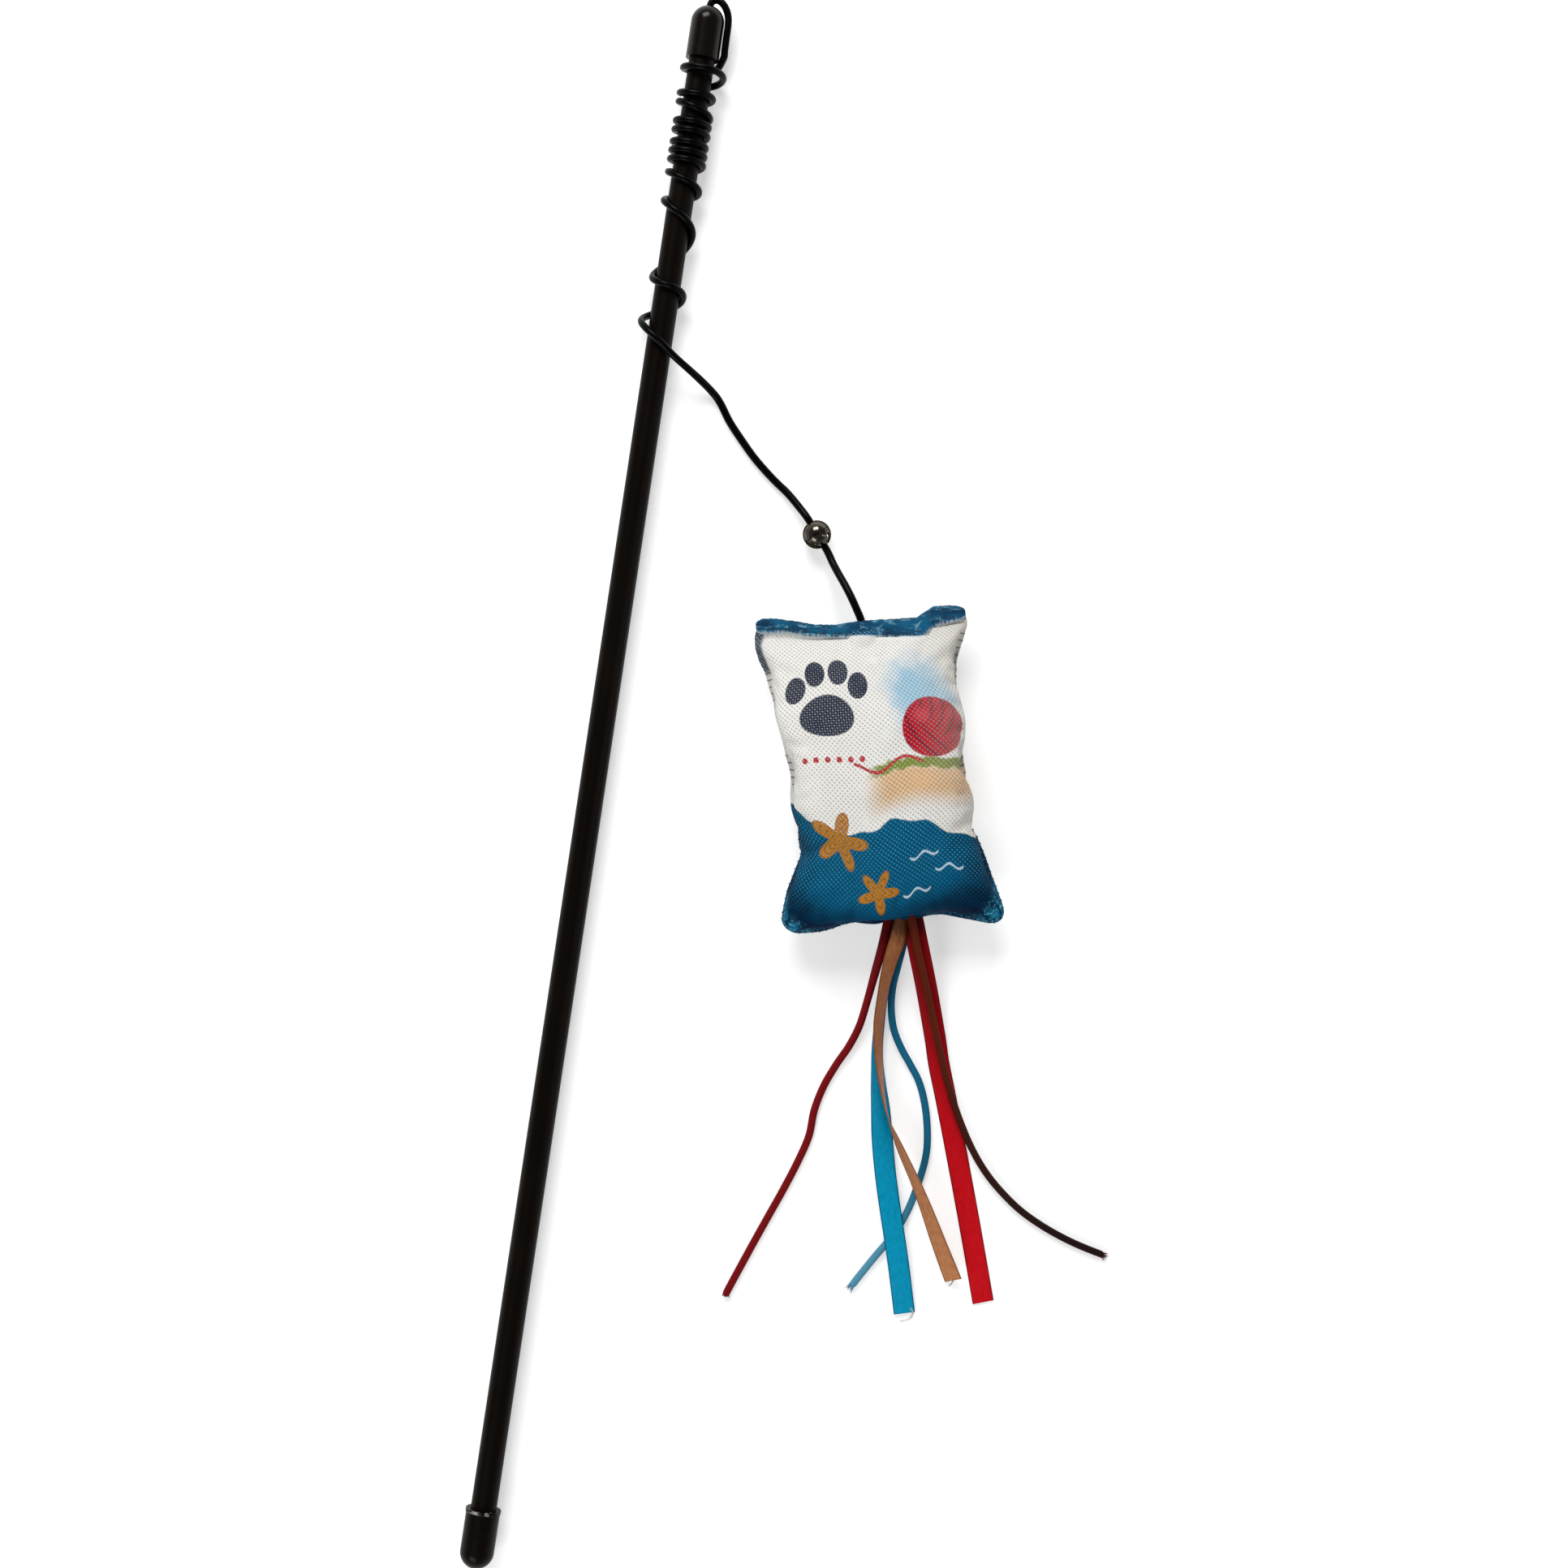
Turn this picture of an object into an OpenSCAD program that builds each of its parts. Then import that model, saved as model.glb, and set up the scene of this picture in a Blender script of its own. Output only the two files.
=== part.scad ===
// Cat teaser wand: a capped rod, an elastic cord wound round its tip, a bell and a stuffed toy
// with streamers.
// The origin is on the rod's axis, where the handle cap's lip meets its straight wall.
// +Y runs along the rod to its tip and +Z is up.
// The wand lies on a flat surface, with its wound cord, bell and toy touching it.

/* [Rod] */
// Length of the bare rod, with both capped ends
rod_len = 472; // [380:1:900]
// Outer diameter of the rod
rod_d = 8; // [7:0.1:9]
// Wall of the rod's tube
rod_wall = 1.4; // [0.8:0.1:2.5]

/* [End caps] */
// Diameter of the tip cap
tip_cap_d = 10.3; // [9.8:0.1:11]
// Length of the tip cap
tip_cap_len = 16.6; // [15.8:0.1:18]
// How far the rod goes into the tip cap
tip_seat = 7.7; // [5:0.1:8.4]
// Diameter of the handle cap
handle_cap_d = 10.5; // [9.8:0.1:12]
// Length of the handle cap
handle_cap_len = 18.5; // [14:0.1:30]
// How far the handle cap's rolled lip stands proud of its wall
lip_proud = 0.2; // [0:0.05:0.5]
// Length of the rolled lip
lip_len = 1.2; // [0.6:0.1:2]
// Thickness of the caps' crowns
cap_crown = 1.4; // [1:0.1:1.6]
// How far the caps' bores are under the rod's size, for their grip
cap_grip = 0.1; // [0:0.01:0.2]

/* [Cord] */
// Diameter of the elastic cord
cord_d = 2; // [1.6:0.1:2.2]
// Length of rod that the winding takes
wrap_len = 95; // [93:1:120]

/* [Bell] */
// Outer diameter of the bell
bell_d = 8.8; // [8:0.1:9.4]
// Thickness of the bell's metal
bell_wall = 0.5; // [0.3:0.05:0.6]
// Width of the bell's sound slots
bell_slot = 0.9; // [0.5:0.1:1.2]
// Diameter of the loose pellet in the bell
pellet_d = 2; // [1.4:0.1:2]

/* [Toy] */
// Width of the stuffed toy across its lower corners
toy_w = 69; // [60:1:80]
// Length of the stuffed toy from hem to lower seam
toy_len = 93; // [85:1:110]
// Height of the toy's crown above its seam
toy_rise = 13.4; // [11:0.1:18]
// Depth of the toy's belly below its seam
toy_belly = 11.4; // [8:0.1:11.4]
// Thickness of the toy's fabric
fabric = 0.6; // [0.3:0.05:0.8]
// Length of the flat hem that closes the toy's top
hem_len = 4.5; // [4:0.1:5.5]
// How much thicker the folded hem is than one layer
hem_fold = 0.9; // [0.5:0.1:1.5]

/* [Streamers] */
// Width of the satin ribbons
ribbon_w = 6; // [5:0.1:6.2]
// Thickness of the satin ribbons
ribbon_t = 0.4; // [0.2:0.05:0.5]
// Diameter of the round laces
lace_d = 2; // [1.6:0.1:2.1]

/* [Hidden] */

// Shared fits
slip = 0.15; // radial room of the cord in the cap's crown
rest_gap = 0.1; // between the wound cord and the rod
air = 0.3; // between neighbours on different bodies
overrun = 1; // how far a cutting shape runs past a face
round_fn = 32;
small_fn = 20;
cord_sides = 8; // of a free cord's rings

// Places along the rod
rod_r = rod_d / 2;
cord_r = cord_d / 2;
handle_end_gap = 0.45; // between the rod's end and the start of the handle cap's dome
rod_start = lip_len - (handle_cap_len - handle_cap_d / 2 - handle_end_gap);
rod_end = rod_start + rod_len;
tip_mouth = rod_end - tip_seat;
tip_top = tip_mouth + tip_cap_len;
wrap_r = rod_r + rest_gap + cord_r;
floor_z = -(wrap_r + cord_r);

// Winding: the place of each half turn along the rod, from the right-hand side of the first turn on,
// and how far each half turn stands off the rod
turn_shares = [
    0.008, 0.036, 0.052, 0.117, 0.125, 0.146, 0.189, 0.209, 0.2175, 0.238, 0.248, 0.277, 0.285,
    0.3055, 0.314, 0.3345, 0.343, 0.376, 0.429, 0.469, 0.568, 0.720, 0.771, 0.865, 1
];
loose_shares = [
    0.6, 0.1, 1.1, 0.05, 0, 0, 0, 0, 0, 0, 0, 0, 0,
    0, 0, 0, 0, 0, 0, 0, 0, 0, 0, 0.7, 0
];
turn_rings = 12; // rings in each half turn
turn_sides = 6;
first_turn = 0.35; // in half turns, where the winding takes over from the tip loop
last_turn = 23.6; // in half turns, where the cord leaves the rod

// Knots: two turns of cord round a stub
knot_turn_share = 0.7; // radius of a turn's centreline, as a share of the cord
knot_pitch_share = 0.9; // from one turn to the next, as a share of the cord
knot_turn_r = cord_d * knot_turn_share;
knot_turns = [knot_turn_r, knot_turn_r + cord_d * knot_pitch_share];
knot_len = knot_turns[1] + cord_r;

// Free cord: points chosen by hand, with z from the rod's axis. The tip's are from the tip cap's top,
// and the lead's from its mouth.
tip_route = [
    [0, -2.0, 0], [0, 0.4, 0], [0.45, 1.7, 0], [1.6, 2.65, 0.1], [3.1, 2.6, 0.2], [4.5, 1.6, 0.3],
    [5.5, 0, 0.3], [6.05, -2.0, 0.3], [6.3, -4.6, 0.3], [6.3, -8.6, 0.2], [6.4, -12.6, 0],
    [6.5, -15.0, -0.7]
];
lead_route = [
    [6.6, -93.2, 3.9], [9.5, -95.2, 2.3], [13.6, -97.8, -1.0], [17.1, -100.3, -3.6],
    [20.0, -103.2, -4.8], [23.8, -108.4, -5.0], [28.7, -113.7, -5.0], [33.8, -119.0, -5.0],
    [39.6, -124.2, -4.9], [44.8, -128.0, -4.3], [49.6, -132.0, -3.0], [53.0, -135.2, -1.8],
    [56.8, -139.3, -1.7], [60.6, -143.4, -1.6], [63.3, -147.4, -0.5], [66.1, -151.6, 1.8],
    [68.8, -155.4, 3.8], [71.3, -158.7, 5.3], [73.4, -161.4, 5.9]
];
bell_point = 12; // the point of the lead that the bell is threaded at

// Bell
bell_r = bell_d / 2;
bell_at = [lead_route[bell_point].x, tip_mouth + lead_route[bell_point].y, floor_z + bell_r];
bell_from = lead_route[bell_point - 1];
bell_to = lead_route[bell_point + 1];
bell_turn = atan2(bell_to.y - bell_from.y, bell_to.x - bell_from.x);
bell_hole_d = cord_d + 2 * air;
bell_groove = 0.15; // depth of the crimped seam's groove
pellet_gap = 0.15; // under the resting pellet
slot_reach = 60; // degrees from the pole to a slot's end
slot_end_share = 1.6; // size of the slots' round ends, as a share of their width

// Toy: its half width at equal steps from hem to lower seam, and its corners
side_shares = [0.93, 0.965, 0.89, 0.845, 0.80, 0.795, 0.79, 0.79, 0.845, 0.94, 0.985];
toy_turn = 14.3; // degrees from the rod's direction
toy_half = toy_w / 2;
ear_up = 3; // how far the hem's corners reach up
ear_down = 3.6; // how far the lower corners reach down
toy_cols = 20;
toy_rows = 18;
stuffing_room = 0.3; // between stuffing and fabric
stuffing_row = 4; // the row where the stuffing starts
channel_share = 0.65; // half height of the cord's way through the hem, as a share of the cord
mouth_shares = [0.89, 1, 0.6]; // half height of the streamers' way out at three columns
mouth_h = 2.7;
mouth_col = toy_cols / 2; // the first of those columns
flat_belly = 1.3; // how much the belly is cut flat where it rests
side_power = 2.2;
crown_power = 0.5;
thread_d = 0.5;
stitch_len = 3;
stitch_pitch = 5;
stitches_each_side = 5;
stitch_start = 7.5;
end_knot_depth = 7; // from the hem to the cord's knot in the toy
root_len = 2.2; // how far the streamers' ends reach into the toy
root_share = 0.96; // width of those ends, as a share of their way out

toy_seam_z = floor_z + fabric + toy_belly;
lead_end = lead_route[len(lead_route) - 1];
toy_at = [
    lead_end.x + sin(toy_turn) * (cord_r + air),
    tip_mouth + lead_end.y - cos(toy_turn) * (cord_r + air),
    toy_seam_z
];

// Streamers: points chosen by hand, from the middle of the toy's lower seam in the wand's own
// directions, with z from the surface that the wand lies on. A ribbon's fourth number is its twist in
// degrees and its fifth the share of its width that stays open where it is folded.
root_gap = 0.6; // between the lower seam and the streamers' first rings
fold_share = 0.125; // what a closed fold adds to a ribbon's half thickness, as a share of its width
seam_at = [toy_at.x + sin(toy_turn) * toy_len, toy_at.y - cos(toy_turn) * toy_len, floor_z];
red_ribbon_route = [
    [7.6, 1.6, 11.4, 0, 1], [10.2, -7.8, 10.2, 0, 1], [13.2, -16.8, 7.6, 0, 1],
    [15.7, -24.0, 4.9, 0, 1], [19.4, -34.9, 2.1, 0, 1], [21.9, -42.1, 1.0, 0, 1],
    [25.9, -53.0, 0.4, 0, 1], [31.0, -67.4, 0.3, 0, 1], [36.0, -81.8, 0.3, 0, 1],
    [40.9, -96.2, 0.3, 0, 1], [45.7, -110.7, 0.4, 0, 1], [46.6, -113.3, 0.5, 0, 1]
];
blue_ribbon_route = [
    [2.4, 0.1, 11.6, 0, 0.5], [1.5, -10.0, 10.0, 0, 0.5], [0.9, -20.0, 7.4, 0, 0.5],
    [1.1, -30.0, 4.6, 0, 0.5], [2.1, -41.0, 2.5, 0, 0.6], [3.9, -50.5, 1.4, 0, 0.8],
    [5.8, -58.5, 0.9, 0, 0.93], [7.8, -68.0, 1.2, 0, 1], [9.7, -76.0, 1.7, 0, 1],
    [11.9, -83.6, 2.6, 0, 1], [14.2, -90.6, 2.9, 0, 1], [16.5, -98.0, 2.7, 0, 1],
    [19.2, -107.0, 2.3, 0, 1], [22.0, -117.0, 1.3, 0, 1], [22.9, -120.2, 1.0, 0, 1]
];
tan_ribbon_route = [
    [2.4, -0.4, 13.6, 0, 1], [2.3, -6.0, 14.0, 25, 1], [2.0, -12.0, 13.8, 48, 1],
    [1.1, -21.0, 11.8, 58, 1], [1.3, -31.5, 9.1, 60, 1], [2.9, -42.0, 6.9, 68, 1],
    [5.4, -51.5, 5.6, 78, 1], [8.4, -59.8, 5.2, 88, 1], [11.5, -65.6, 5.2, 102, 1],
    [14.2, -70.8, 5.7, 110, 1], [19.4, -78.9, 6.4, 116, 1], [24.3, -87.6, 6.3, 124, 1],
    [29.0, -96.0, 4.9, 132, 1], [34.0, -104.9, 3.0, 139, 1], [35.7, -107.6, 2.8, 140, 1]
];
red_lace_route = [
    [-1.9, -1.2, 12.0], [-2.1, -8.0, 11.4], [-3.0, -17.0, 8.6], [-3.9, -26.6, 5.2], [-5.0, -34.2, 3.1],
    [-7.0, -40.8, 1.8], [-9.9, -46.5, 1.2], [-12.6, -54.0, 1.1], [-14.1, -62.0, 1.1],
    [-14.6, -70.4, 1.1], [-16.9, -79.0, 1.1], [-20.0, -88.0, 1.1], [-23.4, -97.0, 1.1],
    [-26.7, -105.8, 1.1], [-29.7, -114.0, 1.1], [-32.0, -120.4, 1.1], [-32.6, -122.2, 1.1]
];
teal_lace_route = [
    [4.6, 0.3, 9.4], [5.0, -6.6, 8.4], [4.5, -13.6, 6.2], [4.1, -20.6, 3.8], [4.7, -27.2, 2.1],
    [6.5, -33.6, 1.3], [9.3, -39.2, 1.1], [12.6, -44.0, 1.1], [15.8, -48.8, 1.1], [18.5, -54.8, 1.1],
    [20.7, -62.0, 1.1], [22.0, -70.0, 1.1], [21.3, -78.8, 1.1], [19.2, -88.4, 1.1], [15.8, -96.8, 1.1],
    [11.6, -103.6, 1.1], [7.6, -110.4, 1.1], [5.8, -113.6, 1.1]
];
brown_lace_route = [
    [6.4, 0.8, 13.1], [10.3, -9.8, 11.9], [15.0, -20.0, 8.6], [19.8, -31.0, 5.4], [24.4, -42.4, 3.3],
    [28.6, -53.0, 2.4], [32.4, -62.0, 2.2], [36.8, -69.2, 2.0], [41.6, -75.2, 1.7], [47.2, -80.4, 1.4],
    [53.0, -84.6, 1.2], [59.2, -87.8, 1.1], [66.0, -90.4, 1.1], [73.0, -92.2, 1.1], [79.8, -93.4, 1.1]
];

// Vectors
function unit(v) = v / norm(v);
function mix(a, b, t) = a + (b - a) * t;
function clamp(x, low, high) = min(max(x, low), high);

// A value between the entries of a list, on a smooth curve through them
function smooth_at(list, place) =
    let (k = clamp(floor(place), 0, len(list) - 2), t = place - k)
    let (b = list[k], c = list[k + 1])
    let (a = k > 0 ? list[k - 1] : 2 * b - c, d = k + 2 < len(list) ? list[k + 2] : 2 * c - b)
    b + (c - a) * t / 2 + (2 * a - 5 * b + 4 * c - d) * t * t / 2 + (3 * (b - c) + d - a) * t * t * t / 2;

// Direction of a route at its point i
function heading(route, i) =
    let (n = len(route) - 1)
    unit(route[min(i + 1, n)] - route[max(i - 1, 0)]);

// Only the place of a route's row, without its twist and fold
function place_of(row) = [row.x, row.y, row.z];

// A round ring about p, square to the direction d
function round_ring(p, d, r, sides) =
    let (side = unit(cross(d, [0, 0, 1])), up = cross(side, d))
    [for (k = [0 : sides - 1]) p + r * (cos(360 * k / sides) * side + sin(360 * k / sides) * up)];

// Rings of a free cord with round ends, whose first and last points are the centres of those ends
end_angles = [70, 40];
function cord_rings(route, r, sides) =
    let (n = len(route) - 1, first = heading(route, 0), last = heading(route, n))
    concat(
        [for (a = end_angles) round_ring(route[0] - first * r * sin(a), first, r * cos(a), sides)],
        [for (i = [0 : n]) round_ring(route[i], heading(route, i), r, sides)],
        [for (i = [1 : len(end_angles)])
            let (a = end_angles[len(end_angles) - i])
            round_ring(route[n] + last * r * sin(a), last, r * cos(a), sides)]
    );

// Rings of a flat ribbon, turned by its twist and narrowed and thickened by its fold
function ribbon_rings(route) =
    let (line = [for (row = route) place_of(row)])
    [for (i = [0 : len(line) - 1])
        let (d = heading(line, i), side = unit(cross(d, [0, 0, 1])), up = cross(side, d))
        let (twist = route[i][3], open = route[i][4])
        let (across = cos(twist) * side + sin(twist) * up, out = cos(twist) * up - sin(twist) * side)
        let (w = ribbon_w / 2 * open, t = ribbon_t / 2 + ribbon_w * fold_share * sqrt(1 - open * open))
        [line[i] + w * across - t * out, line[i] + w * across + t * out,
         line[i] - w * across + t * out, line[i] - w * across - t * out]];

// A closed body through equal rings, with flat ends. The broad faces of a flat one are cut along the same
// diagonals, so that they don't cross where it twists.
module sweep(rings, flat = false) {
    n = len(rings[0]);
    last = len(rings) - 1;
    walls = [
        for (i = [0 : last - 1], k = [0 : n - 1])
            let (m = (k + 1) % n, a = i * n + k, b = i * n + m, c = a + n, d = b + n)
            each flat && k > 1 ? [[a, b, c], [b, d, c]] : [[a, b, d], [a, d, c]]
    ];
    start = [for (k = [1 : n - 2]) [0, k + 1, k]];
    end = [for (k = [1 : n - 2]) [last * n, last * n + k, last * n + k + 1]];
    polyhedron(points = [for (ring = rings) each ring], faces = concat(walls, start, end));
}

// The winding's centreline at h half turns, counted from the right-hand side. A loose turn lies flat on
// the surface.
function winding_at(h) =
    let (r = wrap_r + cord_d * max(0, smooth_at(loose_shares, h)))
    [r * cos(180 * h), tip_mouth - wrap_len * smooth_at(turn_shares, h), max(-r * sin(180 * h), -wrap_r)];

turn_step = 1 / turn_rings;
wound_steps = round((last_turn - first_turn) / turn_step);
wound_line = [
    for (i = [0 : wound_steps]) winding_at(mix(first_turn, last_turn, i / wound_steps))
];
wound_first = unit(wound_line[1] - wound_line[0]);
wound_last = unit(wound_line[wound_steps] - wound_line[wound_steps - 1]);
wound_start = wound_line[0] - cord_d * wound_first;
wound_end = wound_line[wound_steps] + cord_d * wound_last;
wound_route = concat([wound_start], wound_line, [wound_end]);

// Least distance between stretches of the winding that are half a turn or more apart
function wound_gap(line) =
    min([for (i = [0 : len(line) - 1 - turn_rings])
        min([for (j = [i + turn_rings : len(line) - 1]) norm(line[i] - line[j])])]) - cord_d;
echo(least_gap_of_winding = wound_gap(wound_route));

function moved(route, by) = [for (p = route) p + by];
function flat_moved(route, by) = [for (p = route) [p.x + by.x, p.y + by.y, p.z + by.z, p[3], p[4]]];
tip_line = concat(moved(tip_route, [0, tip_top, 0]), [wound_start]);
lead_start = wound_end + (cord_r + air) * wound_last;
lead_line = concat([lead_start], moved(lead_route, [0, tip_mouth, 0]));
echo(lead_hinge = lead_start, bell_at = bell_at, bell_turn = bell_turn);
echo(toy_hinge = [lead_end.x, tip_mouth + lead_end.y, lead_end.z], toy_at = toy_at, seam_at = seam_at);

module along_rod(y) translate([0, y, 0]) rotate([-90, 0, 0]) children();

// Round cap with a domed crown, standing on its mouth, gripping a rod of rod_d
module cap_body(d, height, lip, hole) {
    dome = d / 2;
    bore = rod_r - cap_grip;
    inner = min(dome - cap_crown, bore);
    shoulder = height - dome;
    rotate_extrude($fn = round_fn)
        difference() {
            union() {
                square([dome, shoulder]);
                intersection() {
                    translate([0, shoulder]) circle(r = dome, $fn = round_fn);
                    square([dome, height]);
                }
                polygon([
                    [0, 0], [dome + lip, 0], [dome + lip, lip_len - lip], [dome, lip_len], [0, lip_len]
                ]);
            }
            translate([0, -overrun]) square([bore, shoulder + overrun]);
            intersection() {
                translate([0, shoulder]) circle(r = inner, $fn = round_fn);
                translate([0, shoulder - overrun]) square([inner, height]);
            }
            if (hole > 0) square([hole / 2, height + overrun]);
        }
}

// Cord knot: two turns round a short stub that runs from its foot, at zero, to its far end
module knot(stub) {
    cylinder(h = stub, d = cord_d, $fn = small_fn);
    for (z = knot_turns)
        translate([0, 0, z])
            rotate_extrude($fn = small_fn) translate([knot_turn_r, 0]) circle(r = cord_r, $fn = small_fn);
}

module rod() {
    color("#1b1a19")
        along_rod(rod_start)
            difference() {
                cylinder(h = rod_len, d = rod_d, $fn = round_fn);
                translate([0, 0, -overrun])
                    cylinder(h = rod_len + 2 * overrun, d = rod_d - 2 * rod_wall, $fn = round_fn);
            }
}

module handle_cap() {
    color("#141312")
        translate([0, lip_len, 0]) rotate([90, 0, 0]) cap_body(handle_cap_d, handle_cap_len, lip_proud, 0);
}

module tip_cap() {
    color("#141312")
        along_rod(tip_mouth) cap_body(tip_cap_d, tip_cap_len, 0, cord_d + 2 * slip);
}

// The knot lies under the crown's dome, and its stub ends where the tip loop starts
module anchor_knot() {
    color("#0f0f0f")
        along_rod(tip_top + tip_route[0].y - knot_len) knot(knot_len);
}

module cord_tip_loop() {
    n = len(tip_line) - 1;
    color("#0f0f0f")
        sweep([for (i = [0 : n])
            let (d = i == 0 ? [0, 1, 0] : i == n ? wound_first : heading(tip_line, i))
            round_ring(tip_line[i], d, cord_r, cord_sides)]);
}

module cord_winding() {
    n = len(wound_route) - 1;
    color("#0f0f0f")
        sweep([for (i = [0 : n])
            let (d = i < 2 ? wound_first : i > n - 2 ? wound_last : heading(wound_route, i))
            round_ring(wound_route[i], d, cord_r, turn_sides)]);
}

module cord_lead() {
    color("#0f0f0f") sweep(cord_rings(lead_line, cord_r, cord_sides));
}

module at_bell() translate(bell_at) rotate([0, 90, bell_turn]) children();

// Half of the bell's hollow ball, with its pole on +Z and a hole for the cord
module bell_half() {
    inner = bell_r - bell_wall;
    rotate_extrude($fn = round_fn)
        difference() {
            intersection() {
                circle(r = bell_r, $fn = round_fn);
                square([bell_r, bell_r]);
            }
            circle(r = inner, $fn = round_fn);
            translate([0, -overrun]) square([bell_hole_d / 2, bell_r + 2 * overrun]);
            polygon([
                [bell_r - bell_groove, 0], [bell_r + overrun, -overrun],
                [bell_r + overrun, bell_groove + overrun]
            ]);
        }
}

module bell_upper_shell() {
    color("#b9b7b0") at_bell() mirror([0, 0, 1]) bell_half();
}

// Crossed sound slots that end in round holes
module sound_slots() {
    reach = bell_r * sin(slot_reach);
    for (turn = [0, 90])
        rotate([0, 0, 45 + turn]) {
            translate([-reach, -bell_slot / 2, bell_r * cos(slot_reach)])
                cube([2 * reach, bell_slot, bell_r]);
            for (side = [-1, 1])
                rotate([0, side * slot_reach, 0])
                    cylinder(h = bell_r + overrun, d = bell_slot * slot_end_share, $fn = small_fn);
        }
}

module bell_lower_shell() {
    color("#b9b7b0")
        at_bell()
            difference() {
                bell_half();
                sound_slots();
            }
}

module bell_pellet() {
    color("#8d8b86")
        translate(bell_at - [0, 0, bell_r - bell_wall - pellet_gap - pellet_d / 2])
            sphere(d = pellet_d, $fn = round_fn);
}

// Toy grid: shares across (-1 to 1) and along (0 at the hem, 1 at the lower seam)
function across_share(i) = let (s = 2 * i / toy_cols - 1) (s + sin(90 * s)) / 2;
hem_share = hem_len / toy_len;
function along_share(j) =
    j == 0 ? 0 :
    let (s = (j - 1) / (toy_rows - 1))
    mix(hem_share, 1, (s + (1 - cos(180 * s)) / 2) / 2);
function half_width(v) = toy_half * smooth_at(side_shares, v * (len(side_shares) - 1));
function grid_xy(i, j) =
    let (u = across_share(i), v = along_share(j), corner = pow(abs(u), 3))
    let (ears = corner * (ear_up * pow(1 - v, 6) - ear_down * pow(v, 6)))
    [half_width(v) * u, ears - toy_len * v];

// Share of the full crown at a grid place, zero along the seam
function crown_share(i, j) =
    let (u = across_share(i), w = (along_share(j) - hem_share) / (1 - hem_share))
    j < 2 || j == toy_rows || i == 0 || i == toy_cols ? 0 :
    pow((1 - pow(abs(u), side_power)) * (1 - pow(abs(2 * w - 1), side_power)), crown_power);

// Room that the hem leaves for the cord, and the lower seam for the streamers
function way_through(i, j) =
    j < 2 && i == toy_cols / 2 ? cord_d * channel_share :
    j == toy_rows && i >= mouth_col && i < mouth_col + len(mouth_shares)
        ? mouth_h * mouth_shares[i - mouth_col] :
    0;
function inside_z(i, j, side) =
    let (c = crown_share(i, j))
    way_through(i, j) + (side > 0 ? toy_rise * c : toy_belly * min(1, flat_belly * c));
function outside_z(i, j, side) = inside_z(i, j, side) + fabric + (j < 2 ? hem_fold : 0);

module at_toy() translate(toy_at) rotate([0, 0, toy_turn]) children();

// A grid of points from column i0 to i1 and row j0 to j1, with its height as a function's result
function sheet_points(heights, i0, i1, j0, j1) =
    [for (j = [j0 : j1], i = [i0 : i1]) [grid_xy(i, j).x, grid_xy(i, j).y, heights[j - j0][i - i0]]];

// A closed body between an upper and a lower sheet over the same part of the grid
module between(upper, lower, i0, i1, j0, j1) {
    w = i1 - i0 + 1;
    h = j1 - j0 + 1;
    n = w * h;
    cells = [for (j = [0 : h - 2], i = [0 : w - 2]) j * w + i];
    top = [for (a = cells) each [[a, a + 1, a + w + 1], [a, a + w + 1, a + w]]];
    bottom = [for (f = top) [f[0] + n, f[2] + n, f[1] + n]];
    rim = concat(
        [for (i = [0 : w - 1]) i],
        [for (j = [1 : h - 1]) j * w + w - 1],
        [for (i = [1 : w - 1]) (h - 1) * w + w - 1 - i],
        [for (j = [1 : h - 2]) (h - 1 - j) * w]
    );
    walls = [
        for (k = [0 : len(rim) - 1])
            let (a = rim[k], b = rim[(k + 1) % len(rim)])
            each [[a, a + n, b + n], [a, b + n, b]]
    ];
    polyhedron(
        points = concat(sheet_points(upper, i0, i1, j0, j1), sheet_points(lower, i0, i1, j0, j1)),
        faces = concat(top, bottom, walls)
    );
}

module toy_front_panel() {
    upper = [for (j = [0 : toy_rows]) [for (i = [0 : toy_cols]) outside_z(i, j, 1)]];
    lower = [for (j = [0 : toy_rows]) [for (i = [0 : toy_cols]) inside_z(i, j, 1)]];
    color("#e9e4d6") at_toy() between(upper, lower, 0, toy_cols, 0, toy_rows);
}

module toy_back_panel() {
    upper = [for (j = [0 : toy_rows]) [for (i = [0 : toy_cols]) -inside_z(i, j, -1)]];
    lower = [for (j = [0 : toy_rows]) [for (i = [0 : toy_cols]) -outside_z(i, j, -1)]];
    color("#dcd6c6") at_toy() between(upper, lower, 0, toy_cols, 0, toy_rows);
}

module toy_stuffing() {
    i1 = toy_cols - 1;
    j1 = toy_rows - 1;
    upper = [for (j = [stuffing_row : j1]) [for (i = [1 : i1]) inside_z(i, j, 1) - stuffing_room]];
    lower = [for (j = [stuffing_row : j1]) [for (i = [1 : i1]) stuffing_room - inside_z(i, j, -1)]];
    color("#f4f2ec") at_toy() between(upper, lower, 1, i1, stuffing_row, j1);
}

// Half-round stitches that lie on both faces of the hem and follow its corners
module closing_thread() {
    color("#20303a")
        at_toy()
            for (side = [-1, 1], k = [0 : stitches_each_side - 1], face = [0, 1]) {
                x = side * (stitch_start + k * stitch_pitch);
                y = ear_up * pow(abs(x) / toy_half, 3) - hem_len / 2;
                mirror([0, 0, face])
                    translate([x - stitch_len / 2, y, fabric + hem_fold])
                        rotate([90, 0, 90]) linear_extrude(stitch_len)
                            intersection() {
                                circle(d = thread_d, $fn = small_fn);
                                translate([-thread_d, 0]) square([2 * thread_d, thread_d]);
                            }
            }
}

// The end of the cord, held behind the hem by its knot
module cord_end_knot() {
    knot_foot = hem_len + end_knot_depth;
    color("#0f0f0f")
        at_toy() translate([0, -knot_foot, 0]) rotate([-90, 0, 0]) knot(knot_foot);
}

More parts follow.
